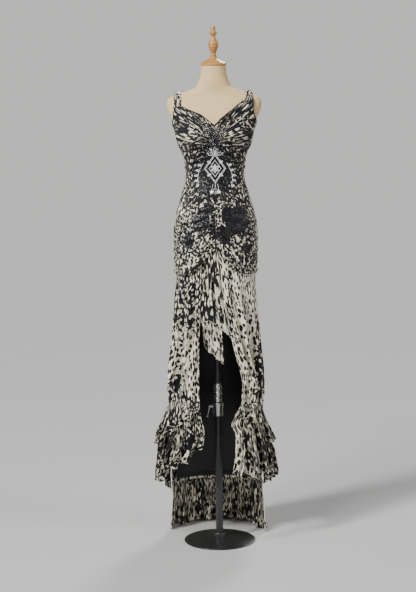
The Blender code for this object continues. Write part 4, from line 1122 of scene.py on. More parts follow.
# Crumples: turns across and down a piece, how far they bend, and their depth in metres
Crumple = namedtuple("Crumple", "across down bend depth")


def creased(rows, growth=0.0, room=(1.0, 1.0)):
    """Growth makes the creases deeper towards the foot of the piece, as a share. Room is how far the
    cloth may move inwards at the piece's top and foot, in metres."""

    def relief(u, v, wide, long):
        height = np.zeros(u.shape)
        for c in rows:
            x, y = (u - c.u) * wide, (v - c.v) * long
            run, fall = (c.u_end - c.u) * wide, (c.v_end - c.v) * long
            reach = np.hypot(run, fall)
            share = clamp((x * run + y * fall) / reach ** 2)
            away = (x * fall - y * run) / reach - c.bend * np.sin(math.pi * share)
            height += c.depth * bell(away / c.width) * np.sin(math.pi * share) ** 0.7
        return np.maximum(height * (1 + growth * v), -mix(*room, v))

    return relief


def gathered(rows):
    def relief(u, v, wide, long):
        height = np.zeros(u.shape)
        for g in rows:
            share = clamp((v - g.v) / (g.v_end - g.v))
            away = (u - g.u - g.lean * share) / g.width
            height += g.depth * bell(away) * np.sin(math.pi * share) ** 0.8
        return height

    return relief


def crumpled(rows, top=0.0):
    """Small uneven crumples, which start at a share of the way down."""

    def relief(u, v, wide, long):
        height = np.zeros(u.shape)
        for c in rows:
            phase = 2 * math.pi * (c.across * u + c.down * v) + c.bend * np.sin(5 * v + 3.3 * u + c.across)
            swell = 0.55 + 0.45 * np.sin(2.3 * c.across * u + 4.1 * v + c.down)
            height += c.depth * swell * np.sin(phase)
        below = ease_in((v - top) / max(0.07, 0.6 * (1 - top)))
        return height * between_ends(u, 14) * below

    return relief


def frilled(turns, depth, share=0.10):
    """The lettuce edge of a hem: short quick waves in the last share of the way down."""

    def relief(u, v, wide, long):
        edge = ease_in((v - 1 + share) / share)
        phase = 2 * math.pi * turns * u
        return depth * edge * (np.sin(phase + 2.1 * np.sin(phase * 0.23)) + 0.5 * np.sin(phase * 1.7 + 1))

    return relief


def puckered(turns, depth, share=0.30):
    """Small uneven puckers under a gathered seam, in the first share of the way down."""

    def relief(u, v, wide, long):
        phase = 2 * math.pi * turns * u
        return depth * ease_in(1 - v / share) * (1 + np.sin(phase + 1.9 * np.sin(phase * 0.19) + 3 * v))

    return relief


def drawn_in(side, depth):
    """A flounce hangs nearer the middle towards its hem, but not at its back seam."""

    def relief(u, v, wide, long):
        return -depth * ease_in((v - 0.15) / 0.7) * ease_in(from_back_seam(side, u) * 5)

    return relief


def over_flounce(side):
    """A ruffle follows the folds of the flounce under it."""
    hem, seam, drop = HEMS[side], FLOUNCE_SEAMS[side], RUFFLE_DROPS[side]
    folds = together(gathered(HEM_GATHERING), drawn_in(side, FLOUNCE_INSET))

    def relief(u, v, wide, long):
        u = ruffle_share(side, u)
        below_seam = v * (drop(u) + 2 * LAP) - LAP
        nearer = RUFFLE_INSET * ease_in(v * 2)
        return folds(u, clamp(below_seam / (seam(u) + LAP - hem(u))), wide, long) - nearer

    return relief


def raised(relief):
    """A relief that only rises, for a hem that lies on the floor."""
    return lambda u, v, wide, long: np.abs(relief(u, v, wide, long))


def together(*reliefs):
    return lambda u, v, wide, long: sum(r(u, v, wide, long) for r in reliefs)


def tube(name, path, radius, material, sides=6):
    """A round cord along a path of points."""
    ahead = unit(np.gradient(path, axis=0))
    side = unit(np.cross(ahead, np.where(np.abs(ahead[:, 2:]) > 0.9, (1.0, 0, 0), (0, 0, 1.0))))
    up = np.cross(side, ahead)
    turn = (np.arange(sides) * 2 * math.pi / sides)[None, :, None]
    rings = path[:, None] + radius * (np.cos(turn) * side[:, None] + np.sin(turn) * up[:, None])
    faces = []
    for j in range(len(path) - 1):
        for k in range(sides):
            n = (k + 1) % sides
            faces.append((j * sides + k, j * sides + n, (j + 1) * sides + n, (j + 1) * sides + k))
    faces.append(tuple(range(sides - 1, -1, -1)))
    faces.append(tuple((len(path) - 1) * sides + k for k in range(sides)))
    return ridden(mesh_object(name, rings, faces, material))


def rolled_hems(name, material, *edges):
    """Rolled hems on some edges of a piece: foot, start and end."""
    lines = {"foot": np.s_[-1, :], "start": np.s_[:, 0], "end": np.s_[:, -1]}

    def trims(piece):
        middle = piece.grid - piece.normals * SHELL / 2
        return [
            tube(f"{name}_{edge}", middle[lines[edge]], HEM_RADIUS, material)
            for edge in edges
        ]

    return trims


# Beads and sequins

Places = namedtuple("Places", "points normals sizes turns")
DICE = np.random.default_rng(7)


def value_noise(x, y, scale, seed):
    """Smooth noise from 0 to 1 over a plane in metres."""
    heights = np.random.default_rng(seed).random((64, 64))
    i, j = np.floor(x * scale).astype(int), np.floor(y * scale).astype(int)
    s, t = ease_in(x * scale - i), ease_in(y * scale - j)
    corner = [[heights[(i + a) % 64, (j + b) % 64] for a in (0, 1)] for b in (0, 1)]
    return mix(mix(*corner[0], s), mix(*corner[1], s), t)


def inside(patch, x, height, ragged=1.0):
    across, up = (x - patch.x) / patch.half_width, (height - patch.height) / patch.half_height
    coarse, fine = value_noise(x + 3, height, 55, 3), value_noise(x + 5, height, 160, 4)
    uneven = (coarse - 0.5) * 0.9 + (fine - 0.5) * 0.7
    return across ** 2 + up ** 2 + uneven * ragged < 1.0


def on_piece(piece, u, v, sizes, tilt=0.0):
    """Places on a piece at shares across and down it, with their normals a little off by tilt."""
    rows, columns = piece.grid.shape[:2]
    x, y = clamp(u) * (columns - 1), clamp(v) * (rows - 1)
    i, j = np.minimum(x.astype(int), columns - 2), np.minimum(y.astype(int), rows - 2)
    s, t = (x - i)[:, None], (y - j)[:, None]
    place, normal = [
        mix(mix(g[j, i], g[j, i + 1], s), mix(g[j + 1, i], g[j + 1, i + 1], s), t)
        for g in (piece.grid, piece.normals)
    ]
    normal = unit(normal + tilt * DICE.normal(size=normal.shape))
    return Places(place, normal, np.broadcast_to(sizes, u.shape), DICE.uniform(0, 2 * math.pi, u.shape))


def joined(*parts):
    return Places(*[np.concatenate(column) for column in zip(*parts)])


def scatter(name, places, verts, faces, material, slot):
    """One mesh of many copies of a small shape, each standing on its place."""
    side = unit(np.cross(places.normals, (0.1, 0.2, 1.0)))
    up = np.cross(places.normals, side)
    c, s = np.cos(places.turns)[:, None], np.sin(places.turns)[:, None]
    across, along = c * side + s * up, c * up - s * side
    x, y, z = [(verts[:, k] * places.sizes[:, None])[..., None] for k in range(3)]
    made = places.points[:, None] + x * across[:, None] + y * along[:, None] + z * places.normals[:, None]
    every = (np.arange(len(made)) * len(verts))[:, None, None] + np.array(faces)
    return ridden(mesh_object(name, made, every.reshape(-1, len(faces[0])), material))


BEAD_SEAT = 0.7                 # how high a bead's middle stands over its place, in radii


def round_bead(sides=6, rings=3):
    """A ball of radius 1 that sits on its place."""
    turn = np.arange(sides) * 2 * math.pi / sides
    verts = [(0, 0, BEAD_SEAT + 1)]
    for tilt in np.arange(1, rings + 1) * math.pi / (rings + 1):
        radius, height = math.sin(tilt), BEAD_SEAT + math.cos(tilt)
        verts += [(radius * math.cos(a), radius * math.sin(a), height) for a in turn]
    verts.append((0, 0, BEAD_SEAT - 1))
    last, foot = 1 + (rings - 1) * sides, len(verts) - 1
    faces = []
    for k in range(sides):
        n = (k + 1) % sides
        faces.append((0, 1 + k, 1 + n))
        faces.append((foot, last + n, last + k))
        for r in range(rings - 1):
            a = 1 + r * sides
            faces += [(a + k, a + sides + k, a + sides + n), (a + k, a + sides + n, a + n)]
    return np.array(verts), faces


def cupped_sequin(sides=6):
    """A disc of radius 1, dished towards its middle."""
    turn = np.arange(sides) * 2 * math.pi / sides
    verts = [(0, 0, 0.10)] + [(math.cos(a), math.sin(a), 0.34) for a in turn]
    return np.array(verts), [(0, 1 + k, 1 + (k + 1) % sides) for k in range(sides)]


def signed_angle(x, height):
    return np.sign(x) * front_angle(np.abs(x), height)


def midriff_shares(x, height):
    angle = signed_angle(x, height)
    top = UNDERBUST(np.abs(angle)) + LAP
    return (angle + SIDE) / (2 * SIDE), (height - top) / (HIP_TOP - top)


def hip_shares(x, height):
    angle = signed_angle(x, height)
    return np.abs(angle) / SIDE, (HIP_TOP - height) / (HIP_TOP - HIP_SEAM(angle))


def tiled(patch, pitch):
    """Staggered rows of places over a patch, each nudged a little."""
    rows = np.arange(-1.4 * patch.half_height, 1.4 * patch.half_height, pitch * 0.87)
    columns = np.arange(-1.4 * patch.half_width, 1.4 * patch.half_width, pitch)
    x, height = np.meshgrid(columns, rows)
    x = x + (np.arange(len(rows)) % 2)[:, None] * pitch / 2
    x, height = [(a + DICE.normal(scale=0.12 * pitch, size=a.shape)).ravel() for a in (x, height)]
    return x + patch.x, height + patch.height


# The beaded design: a diamond lattice with a rosette, leaf sprays and drops, round the panel's middle.
# Lines are lists of (x, rise) from the middle, in metres.
BEAD, SMALL_BEAD = 0.00158, 0.0013
DIAMOND_HALF_WIDTH, DIAMOND_HALF_HEIGHT, DIAMOND_RISE = 0.039, 0.056, 0.008


def beads_along(*corners, pitch=2.05 * BEAD):
    """Places of beads along straight runs between corners."""
    found = []
    for (x0, y0), (x1, y1) in zip(corners, corners[1:]):
        count = max(1, round(math.hypot(x1 - x0, y1 - y0) / pitch))
        found += [(mix(x0, x1, k / count), mix(y0, y1, k / count)) for k in range(count)]
    return found + [corners[-1]]


def leaf(x, y, lean, length, width):
    """An outline of beads round a pointed leaf from its stem, with a vein; lean is in degrees from up."""
    steps = np.linspace(0, 1, 9)
    edge = [(width * math.sin(math.pi * t) * side, length * t) for side in (1, -1) for t in steps]
    vein = [(0, length * t) for t in (0.25, 0.5, 0.75)]
    s, c = math.sin(math.radians(lean)), math.cos(math.radians(lean))
    return [(x + p * c + q * s, y - p * s + q * c) for p, q in edge + vein]


def rosette(x, y, radius, petals):
    found = [(x, y)]
    for k in range(petals):
        found += leaf(x, y, 360 / petals * k, radius, radius * 0.24)
    return found


def bead_design():
    w, h, up = DIAMOND_HALF_WIDTH, DIAMOND_HALF_HEIGHT, DIAMOND_RISE
    found = rosette(0, up, 0.016, 6)
    for share in (1.0, 0.90, 0.56):
        top, right, foot, left = (0, up + h * share), (w * share, up), (0, up - h * share), (-w * share, up)
        found += beads_along(top, right, foot, left, top)
    for side in (1, -1):
        for rise, lean in ((0.30, 60), (-0.30, 120)):
            found += leaf(side * w * 0.42, up + rise * h * 1.25, side * lean, 0.013, 0.0036)
        found += leaf(0, up + h, side * 38, 0.024, 0.0055)
        found += leaf(side * 0.004, up + h * 0.92, side * 72, 0.028, 0.0055)
        spray = [
            (side * (w + 0.004 + 0.020 * math.sin(2.2 * t)), up + mix(0.020, -0.062, t))
            for t in np.linspace(0, 1, 10)
        ]
        found += beads_along(*spray)
        for k, (x, y) in enumerate(spray[1::2]):
            found += leaf(x, y, side * (68 + 14 * k), 0.013, 0.0032)
        found += beads_along((side * 0.009, up - h - 0.004), (side * 0.013, up - h - 0.026))
        found += rosette(side * 0.0135, up - h - 0.033, 0.0065, 5)
    found += leaf(0, up + h, 0, 0.028, 0.006)
    found += beads_along((0, up - h), (0, up - h - 0.018))
    found += leaf(0, up - h - 0.018, 180, 0.024, 0.008)
    return np.array(found)


def turned(name, profile, sides, material, node, slot, seat=Matrix(), body=BODY):
    """A part turned about Z from (radius, height) points, from its foot up, then moved to its seat."""
    radius, height = np.array(profile).T[:, :, None]
    turn = np.arange(sides) * 2 * math.pi / sides
    ring = points(radius * np.cos(turn), radius * np.sin(turn), height)
    around = np.concatenate((ring, ring[:, :1]), axis=1)
    faces = [
        [f % (sides + 1) % sides + f // (sides + 1) * sides for f in face]
        for face in grid_faces(*around.shape[:2]).tolist()
    ]
    faces.append(list(range(sides - 1, -1, -1)))
    faces.append([(len(profile) - 1) * sides + k for k in range(sides)])
    made = ridden(mesh_object(name, ring, faces, material), body)
    made.data.transform(seat)
    made.data.set_sharp_from_angle(angle=math.radians(38))
    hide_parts(node)


def rounded(profile, steps=8):
    """The (radius, height) points of a smooth profile through turned rows."""
    curve = smooth_curve(*[(row.rise, row.radius) for row in profile])
    rises = np.linspace(profile[0].rise, profile[-1].rise, steps * (len(profile) - 1) + 1)
    return list(zip(curve(rises), rises))


def make_form(cotton, wood, thread):
    """The padded form in its cover, the wooden neck cap and finial, and the stitches round the neck."""
    angle, height = np.meshgrid(np.linspace(0, 2 * math.pi, 97), np.linspace(FORM_BOTTOM, NECK_TOP, 161))
    skin = form_point(angle, height)
    hip_row = skin[40]
    turn = np.cumsum(np.concatenate(([0], np.linalg.norm(np.diff(hip_row, axis=0), axis=-1))))
    rise = height[:, 0] - FORM_BOTTOM
    flat = np.stack(np.broadcast_arrays(turn[None, :], rise[:, None]), axis=-1).reshape(-1, 2)
    rows, columns = angle.shape
    faces = [list(f) for f in grid_faces(rows, columns)]
    faces.append(list(range(columns - 2, -1, -1)))
    faces.append([(rows - 1) * columns + k for k in range(columns - 1)])
    form = ridden(mesh_object("form_cover", skin, faces, cotton, flat))
    form.data.set_sharp_from_angle(angle=math.radians(50))
    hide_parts("form_torso")
    seat = Matrix.Translation((0, 0, NECK_TOP)) @ Matrix.Rotation(NECK_TILT, 4, "X")
    turned("wooden_neck_cap", rounded(NECK_CAP), 72, wood, "neck_cap", "turned_wood", seat)
    turned("wooden_finial", rounded(FINIAL), 48, wood, "finial", "turned_wood", seat)
    each = np.ones(NECK_STITCHES)
    round_neck = np.arange(NECK_STITCHES) * 2 * math.pi / NECK_STITCHES
    stitches = lifted(round_neck, (NECK_TOP - NECK_SEAM_DROP - STITCH_DROP) * each, 0 * each)
    outward = unit(stitches * (1, 1, 0))
    verts, faces = round_bead(5, 2)
    places = Places(stitches - outward * STITCH_SINK, outward, STITCH_RADIUS * each, 0 * each)
    scatter("neck_stitches", places, verts * (STITCH_STRETCH, 1, 1), faces, thread, "form_cover")


def fillet(radius, height, size, steps=4):
    """A rounded outer edge that turns in to the top of a step."""
    turn = np.linspace(0, math.pi / 2, steps + 1)
    return list(zip(radius - size * (1 - np.cos(turn)), height - size * (1 - np.sin(turn))))


def make_stand(steel, plating):
    """The stand's turned parts, made round, and the clamp's lever, which turns on its own body."""
    hub_foot = BASE_DOME + SEAM_GAP
    plate = [(BASE_RADIUS - PLATE_FOOT_INSET, 0), (BASE_RADIUS, BEVEL)]
    plate += fillet(BASE_RADIUS, BASE_EDGE, BEVEL)
    plate += [
        (mix(BASE_RADIUS - 2 * BEVEL, HUB_RADIUS, s), mix(BASE_EDGE, BASE_DOME, math.sin(s * math.pi / 2)))
        for s in np.linspace(0.1, 1, 12)
    ]
    turned("round_base_plate", plate, 128, steel, "base_plate", "black_steel")
    hub = [(HUB_RADIUS, hub_foot), *fillet(HUB_RADIUS, HUB_TOP, HUB_ROUNDING)]
    hub.append((LOWER_TUBE_RADIUS + SEAM_GAP, HUB_TOP))
    turned("pole_hub", hub, 64, steel, "base_hub", "black_steel")
    lower = [(LOWER_TUBE_RADIUS, hub_foot), (LOWER_TUBE_RADIUS, LOWER_TUBE_TOP)]
    turned("lower_pole", lower, 48, steel, "lower_tube", "black_steel")
    upper = [(UPPER_TUBE_RADIUS, z) for z in (LOWER_TUBE_TOP - TUBE_OVERLAP, BOSS_BOTTOM - SEAM_GAP)]
    turned("upper_pole", upper, 48, steel, "upper_tube", "black_steel")
    flange = [
        (BOSS_RADIUS - BEVEL, BOSS_BOTTOM), (BOSS_RADIUS, BOSS_BOTTOM + BOSS_FOOT_RISE),
        (BOSS_RADIUS, FLANGE_BOTTOM), (FLANGE_RADIUS, FLANGE_BOTTOM + FINE_BEVEL),
        (FLANGE_RADIUS, FORM_BOTTOM - SEAM_GAP),
    ]
    turned("form_flange", flange, 64, steel, "pole_flange", "black_steel")
    pitch, groove = (RIBBED_TOP - RIBBED_BOTTOM) / RIBS, RIB_RADIUS - RIB_GROOVE
    ribs = [(RIB_RADIUS - FINE_BEVEL, RIBBED_BOTTOM)]
    for k in range(RIBS):
        for s in np.linspace(0, 1, 14):
            swell = ease_in(s / 0.12) * ease_in((0.72 - s) / 0.14)
            height = RIBBED_BOTTOM + (k + s * 0.999 + 0.0005) * pitch
            ribs.append((mix(groove, RIB_RADIUS, float(swell)), height))
    turned("ribbed_sleeve", ribs, 64, plating, "ribbed_collar", "chromed_steel")
    clamp_ring = [
        (CLAMP_RADIUS - BEVEL, CLAMP_BOTTOM), (CLAMP_RADIUS, CLAMP_BOTTOM + BEVEL),
        *fillet(CLAMP_RADIUS, CLAMP_TOP, BEVEL), (UPPER_TUBE_RADIUS, CLAMP_TOP),
    ]
    turned("clamp_ring", clamp_ring, 64, plating, "clamp_body", "chromed_steel")
    boss = [(CLAMP_BOSS_RADIUS, 0)]
    boss += fillet(CLAMP_BOSS_RADIUS, CLAMP_BOSS_REACH + CLAMP_BOSS_SINK, FINE_BEVEL)
    to_the_left = Matrix.Rotation(-math.pi / 2, 4, "Y")
    seat = Matrix.Translation((CLAMP_BOSS_SINK - CLAMP_RADIUS, 0, LEVER_HEIGHT)) @ to_the_left
    turned("clamp_boss", boss, 32, plating, "clamp_body", "chromed_steel", seat)
    hub_start = -CLAMP_RADIUS - CLAMP_BOSS_REACH - SEAM_GAP
    hub = [(LEVER_HUB_RADIUS - FINE_BEVEL, 0), (LEVER_HUB_RADIUS, FINE_BEVEL)]
    hub += fillet(LEVER_HUB_RADIUS, LEVER_HUB_WIDTH, FINE_BEVEL)
    seat = Matrix.Translation((hub_start, 0, LEVER_HEIGHT)) @ to_the_left
    turned("lever_hub", hub, 32, plating, "clamp_lever", "chromed_steel", seat, LEVER_BODY)
    neck = math.asin(LEVER_NECK_RADIUS / KNOB_RADIUS)
    handle = [(LEVER_RADIUS, 0), (LEVER_NECK_RADIUS, LEVER_LENGTH - 2 * KNOB_RADIUS)]
    handle += [
        (KNOB_RADIUS * math.sin(a), LEVER_LENGTH - KNOB_RADIUS * math.cos(a))
        for a in np.linspace(neck, math.pi - 0.05, 12)
    ]
    downward = Vector((-math.sin(LEVER_LEAN), 0, -math.cos(LEVER_LEAN))).to_track_quat("Z", "Y")
    middle = Matrix.Translation((hub_start - LEVER_HUB_WIDTH / 2, 0, LEVER_HEIGHT))
    seat = middle @ downward.to_matrix().to_4x4()
    turned("lever_handle", handle, 24, plating, "clamp_lever", "chromed_steel", seat, LEVER_BODY)


# The creases of each piece

CUP_GATHERING = {
    "left": table(Gather, (
        (0.07, 0.012, 0.1, 0.75, 0.01, 0.0018), (0.13, 0.016, 0.05, 0.85, 0.02, 0.003),
        (0.19, 0.011, 0.12, 0.95, 0.006, -0.0022), (0.25, 0.018, 0.04, 0.8, 0.02, 0.0036),
        (0.33, 0.012, 0.15, 0.98, -0.01, 0.0026), (0.38, 0.01, 0.05, 0.7, 0.012, -0.0024),
        (0.44, 0.02, 0.06, 0.97, 0.015, 0.0042), (0.52, 0.013, 0.1, 0.9, -0.012, 0.0028),
        (0.58, 0.01, 0.04, 0.72, 0.01, -0.0026), (0.64, 0.017, 0.08, 0.93, 0.018, 0.004),
        (0.71, 0.012, 0.05, 0.78, -0.008, 0.0028), (0.77, 0.015, 0.1, 0.95, 0.012, 0.0034),
        (0.84, 0.011, 0.04, 0.85, 0.006, -0.002), (0.9, 0.016, 0.06, 0.92, -0.01, 0.0032),
        (0.955, 0.01, 0.1, 0.9, 0.0, 0.0022), (0.475, 0.045, 0.8, 1.2, 0.0, -0.0012),
    )),
    "right": table(Gather, (
        (0.055, 0.011, 0.12, 0.8, 0.014, 0.002), (0.11, 0.015, 0.05, 0.78, 0.012, 0.0028),
        (0.17, 0.013, 0.08, 0.96, 0.01, 0.0034), (0.23, 0.01, 0.05, 0.74, -0.006, -0.0022),
        (0.29, 0.019, 0.05, 0.94, 0.018, 0.004), (0.36, 0.011, 0.12, 0.86, 0.004, 0.0024),
        (0.41, 0.012, 0.04, 0.98, 0.016, -0.0026), (0.48, 0.018, 0.07, 0.9, -0.012, 0.0038),
        (0.55, 0.012, 0.05, 0.98, 0.014, 0.003), (0.6, 0.009, 0.1, 0.76, 0.0, -0.0022),
        (0.67, 0.018, 0.05, 0.94, 0.012, 0.0042), (0.74, 0.012, 0.12, 0.88, -0.01, 0.0026),
        (0.8, 0.014, 0.05, 0.8, 0.01, 0.0032), (0.87, 0.012, 0.06, 0.96, 0.008, -0.0022),
        (0.93, 0.014, 0.08, 0.9, -0.006, 0.003), (0.475, 0.045, 0.8, 1.2, 0.0, -0.0012),
    )),
}
MIDRIFF_CREASES = table(Crease, (
    (0.09, 0.13, 0.45, 0.045, 0.0045, 0.0038, 0.006), (0.11, 0.24, 0.46, 0.1, 0.0055, 0.0046, 0.008),
    (0.08, 0.35, 0.42, 0.19, 0.005, 0.004, 0.009), (0.13, 0.45, 0.34, 0.32, 0.0045, 0.0028, 0.006),
    (0.92, 0.15, 0.55, 0.05, 0.0045, 0.0038, -0.005), (0.89, 0.26, 0.54, 0.11, 0.0055, 0.0048, -0.009),
    (0.93, 0.38, 0.58, 0.21, 0.0048, 0.0038, -0.008), (0.87, 0.48, 0.66, 0.33, 0.0045, 0.0026, -0.006),
    (0.04, 0.55, 0.27, 0.6, 0.004, 0.0022, 0.003), (0.05, 0.66, 0.24, 0.69, 0.0045, 0.0026, 0.004),
    (0.03, 0.79, 0.3, 0.8, 0.004, 0.002, -0.003), (0.1, 0.9, 0.34, 0.87, 0.0045, 0.0022, 0.003),
    (0.96, 0.57, 0.75, 0.61, 0.004, 0.0024, -0.003), (0.94, 0.69, 0.78, 0.72, 0.0045, 0.0026, -0.004),
    (0.97, 0.82, 0.7, 0.84, 0.004, 0.002, 0.003), (0.88, 0.93, 0.66, 0.9, 0.0045, 0.0022, -0.003),
))
HIP_CREASES = {
    "left": table(Crease, (
        (1.0, 0.935, 0.01, 0.965, 0.0063, 0.0078, 0.004), (0.99, 0.83, 0.04, 0.915, 0.0075, 0.0093, 0.01),
        (0.98, 0.885, 0.3, 0.935, 0.0044, -0.0045, 0.004),
        (0.99, 0.735, 0.14, 0.855, 0.0069, 0.0066, 0.009),
        (0.95, 0.64, 0.34, 0.79, 0.0063, 0.0054, 0.006), (0.97, 0.54, 0.16, 0.64, 0.006, 0.0045, 0.007),
        (0.9, 0.43, 0.4, 0.46, 0.0056, 0.0042, 0.005), (0.98, 0.33, 0.52, 0.35, 0.0056, 0.0039, -0.004),
        (0.85, 0.23, 0.24, 0.25, 0.0063, 0.0039, 0.004), (0.95, 0.12, 0.4, 0.14, 0.0045, 0.0022, 0.003),
        (0.6, 0.56, 0.1, 0.5, 0.004, 0.0024, -0.005), (0.48, 0.7, 0.06, 0.74, 0.0056, 0.0045, 0.004),
    )),
    "right": table(Crease, (
        (1.0, 0.94, 0.01, 0.96, 0.0063, 0.0075, -0.003), (0.97, 0.85, 0.05, 0.88, 0.0077, 0.0096, -0.006),
        (0.99, 0.905, 0.42, 0.925, 0.0044, -0.0045, 0.002),
        (0.99, 0.745, 0.22, 0.8, 0.0065, 0.0063, -0.009), (0.96, 0.67, 0.1, 0.7, 0.0063, 0.0054, -0.004),
        (0.92, 0.57, 0.3, 0.62, 0.006, 0.0045, -0.007), (0.98, 0.47, 0.5, 0.5, 0.0056, 0.0039, 0.004),
        (0.88, 0.38, 0.2, 0.4, 0.0063, 0.0042, -0.005), (0.97, 0.27, 0.36, 0.29, 0.0056, 0.0039, -0.004),
        (0.9, 0.15, 0.44, 0.13, 0.0045, 0.0022, 0.004), (0.52, 0.48, 0.08, 0.56, 0.005, 0.0039, 0.005),
        (0.4, 0.21, 0.06, 0.24, 0.004, 0.0022, 0.003),
    )),
}

# Puckers along the ruched centre front seam: place down the seam, reach across and fall, in shares
Pucker = namedtuple("Pucker", "v reach fall depth")
CENTRE_PUCKERS = table(Pucker, (
    (0.06, 0.12, 0.02, 0.0018), (0.12, 0.18, 0.05, 0.0026), (0.19, 0.1, 0.01, 0.0018),
    (0.25, 0.2, 0.06, 0.003), (0.32, 0.13, 0.02, 0.0024), (0.38, 0.22, 0.07, 0.0032),
    (0.45, 0.11, 0.01, 0.002), (0.51, 0.19, 0.05, 0.003), (0.58, 0.14, 0.04, 0.0026),
    (0.65, 0.24, 0.06, 0.0034), (0.71, 0.12, 0.02, 0.0024), (0.78, 0.2, 0.04, 0.0032),
    (0.84, 0.15, 0.03, 0.0026), (0.9, 0.22, 0.03, 0.003),
))
PUCKER_WIDTH, PUCKER_START, PUCKER_BEND = 0.003, 0.012, 0.001

PANEL_CREASES = {
    "left": table(Crease, (
        (0.9, 0.01, 0.84, 0.7, 0.009, -0.0083, 0.006), (0.96, 0.03, 0.93, 0.96, 0.007, 0.0067, 0.004),
        (0.82, 0.0, 0.76, 1.0, 0.01, 0.009, 0.01), (0.71, 0.04, 0.68, 0.96, 0.009, -0.0075, -0.008),
        (0.61, 0.0, 0.6, 1.0, 0.011, 0.0097, 0.006), (0.5, 0.08, 0.5, 0.86, 0.008, -0.006, 0.009),
        (0.4, 0.0, 0.42, 1.0, 0.012, 0.009, -0.01), (0.28, 0.05, 0.3, 1.0, 0.01, 0.0075, 0.008),
        (0.17, 0.02, 0.16, 0.81, 0.009, -0.0067, 0.006), (0.08, 0.1, 0.1, 1.0, 0.01, 0.0075, 0.004),
        (0.94, 0.06, 0.55, 0.26, 0.006, 0.0045, 0.01), (0.88, 0.2, 0.52, 0.48, 0.007, 0.0039, -0.012),
        (0.92, 0.55, 0.66, 0.92, 0.007, 0.0051, 0.012),
    )),
    "right": table(Crease, (
        (0.05, 0.02, 0.08, 0.91, 0.008, 0.0067, 0.006), (0.13, 0.04, 0.16, 0.81, 0.008, -0.0075, 0.004),
        (0.21, 0.0, 0.25, 1.0, 0.011, 0.0097, -0.008), (0.33, 0.06, 0.34, 0.94, 0.009, -0.0075, 0.008),
        (0.43, 0.0, 0.42, 1.0, 0.011, 0.009, 0.006), (0.53, 0.1, 0.54, 0.88, 0.009, -0.006, -0.006),
        (0.63, 0.02, 0.6, 1.0, 0.012, 0.0093, 0.01), (0.75, 0.04, 0.76, 0.98, 0.009, -0.0067, 0.005),
        (0.86, 0.0, 0.84, 1.0, 0.011, 0.0083, -0.008), (0.94, 0.1, 0.93, 0.96, 0.009, 0.006, 0.004),
        (0.06, 0.05, 0.46, 0.3, 0.006, 0.0045, -0.01), (0.1, 0.32, 0.4, 0.6, 0.007, 0.0042, 0.012),
        (0.06, 0.6, 0.3, 0.96, 0.007, 0.0051, -0.01),
    )),
}
CENTRE_CREASES = table(Crease, (
    (0.18, 0.0, 0.24, 0.98, 0.005, 0.005, 0.004), (0.31, 0.04, 0.34, 0.8, 0.0045, -0.0035, 0.003),
    (0.44, 0.0, 0.46, 1.05, 0.0055, 0.006, -0.004), (0.57, 0.1, 0.56, 0.9, 0.0045, -0.0035, 0.003),
    (0.68, 0.0, 0.7, 1.05, 0.0055, 0.0055, 0.005), (0.82, 0.05, 0.84, 0.92, 0.0045, 0.004, -0.003),
    (0.3, 0.36, 0.7, 0.48, 0.005, 0.0028, 0.005), (0.26, 0.58, 0.62, 0.52, 0.0045, 0.0024, 0.004),
    (0.4, 0.78, 0.86, 0.72, 0.005, 0.0026, 0.004),
))
TAIL_CREASES = table(Crease, (
    (0.1, 0.05, 0.16, 0.95, 0.006, 0.004, 0.003), (0.36, 0.0, 0.3, 0.9, 0.006, -0.003, 0.004),
    (0.58, 0.05, 0.62, 1.0, 0.0065, 0.0045, -0.004), (0.82, 0.0, 0.8, 0.9, 0.0055, 0.003, 0.003),
    (0.15, 0.7, 0.85, 0.84, 0.005, 0.0022, 0.006),
))
BACK_SKIRT_CREASES = table(Crease, (
    (0.06, 0.02, 0.05, 0.98, 0.012, 0.0074, 0.008), (0.15, 0.05, 0.13, 0.9, 0.01, -0.0045, 0.006),
    (0.24, 0.0, 0.21, 0.98, 0.014, 0.0088, -0.01), (0.34, 0.08, 0.32, 0.94, 0.011, -0.005, 0.008),
    (0.43, 0.02, 0.41, 0.98, 0.014, 0.0095, 0.006), (0.52, 0.1, 0.53, 0.85, 0.011, -0.0045, -0.008),
    (0.6, 0.0, 0.62, 0.98, 0.014, 0.0088, 0.01), (0.7, 0.06, 0.72, 0.92, 0.011, -0.005, 0.006),
    (0.79, 0.0, 0.82, 0.98, 0.013, 0.0081, -0.008), (0.9, 0.08, 0.92, 0.96, 0.011, 0.0068, 0.006),
    (0.46, 0.03, 0.12, 0.22, 0.008, 0.0041, -0.01), (0.54, 0.04, 0.88, 0.24, 0.008, 0.0041, 0.01),
    (0.4, 0.16, 0.62, 0.19, 0.007, 0.0032, 0.006),
))
BODICE_BACK_CREASES = table(Crease, (
    (0.04, 0.12, 0.7, 0.07, 0.005, 0.0024, 0.006), (0.06, 0.24, 0.86, 0.2, 0.0055, 0.003, -0.006),
    (0.03, 0.31, 0.92, 0.29, 0.005, 0.0034, 0.005), (0.08, 0.37, 0.96, 0.345, 0.0055, 0.0038, -0.005),
    (0.03, 0.43, 0.88, 0.4, 0.005, 0.003, 0.006), (0.1, 0.5, 0.95, 0.455, 0.006, 0.0032, 0.008),
    (0.03, 0.62, 0.7, 0.56, 0.0055, 0.0026, 0.008), (0.3, 0.72, 0.96, 0.7, 0.006, 0.0028, -0.01),
    (0.03, 0.83, 0.8, 0.86, 0.006, 0.0034, -0.008), (0.08, 0.91, 0.97, 0.93, 0.0055, 0.004, 0.006),
))
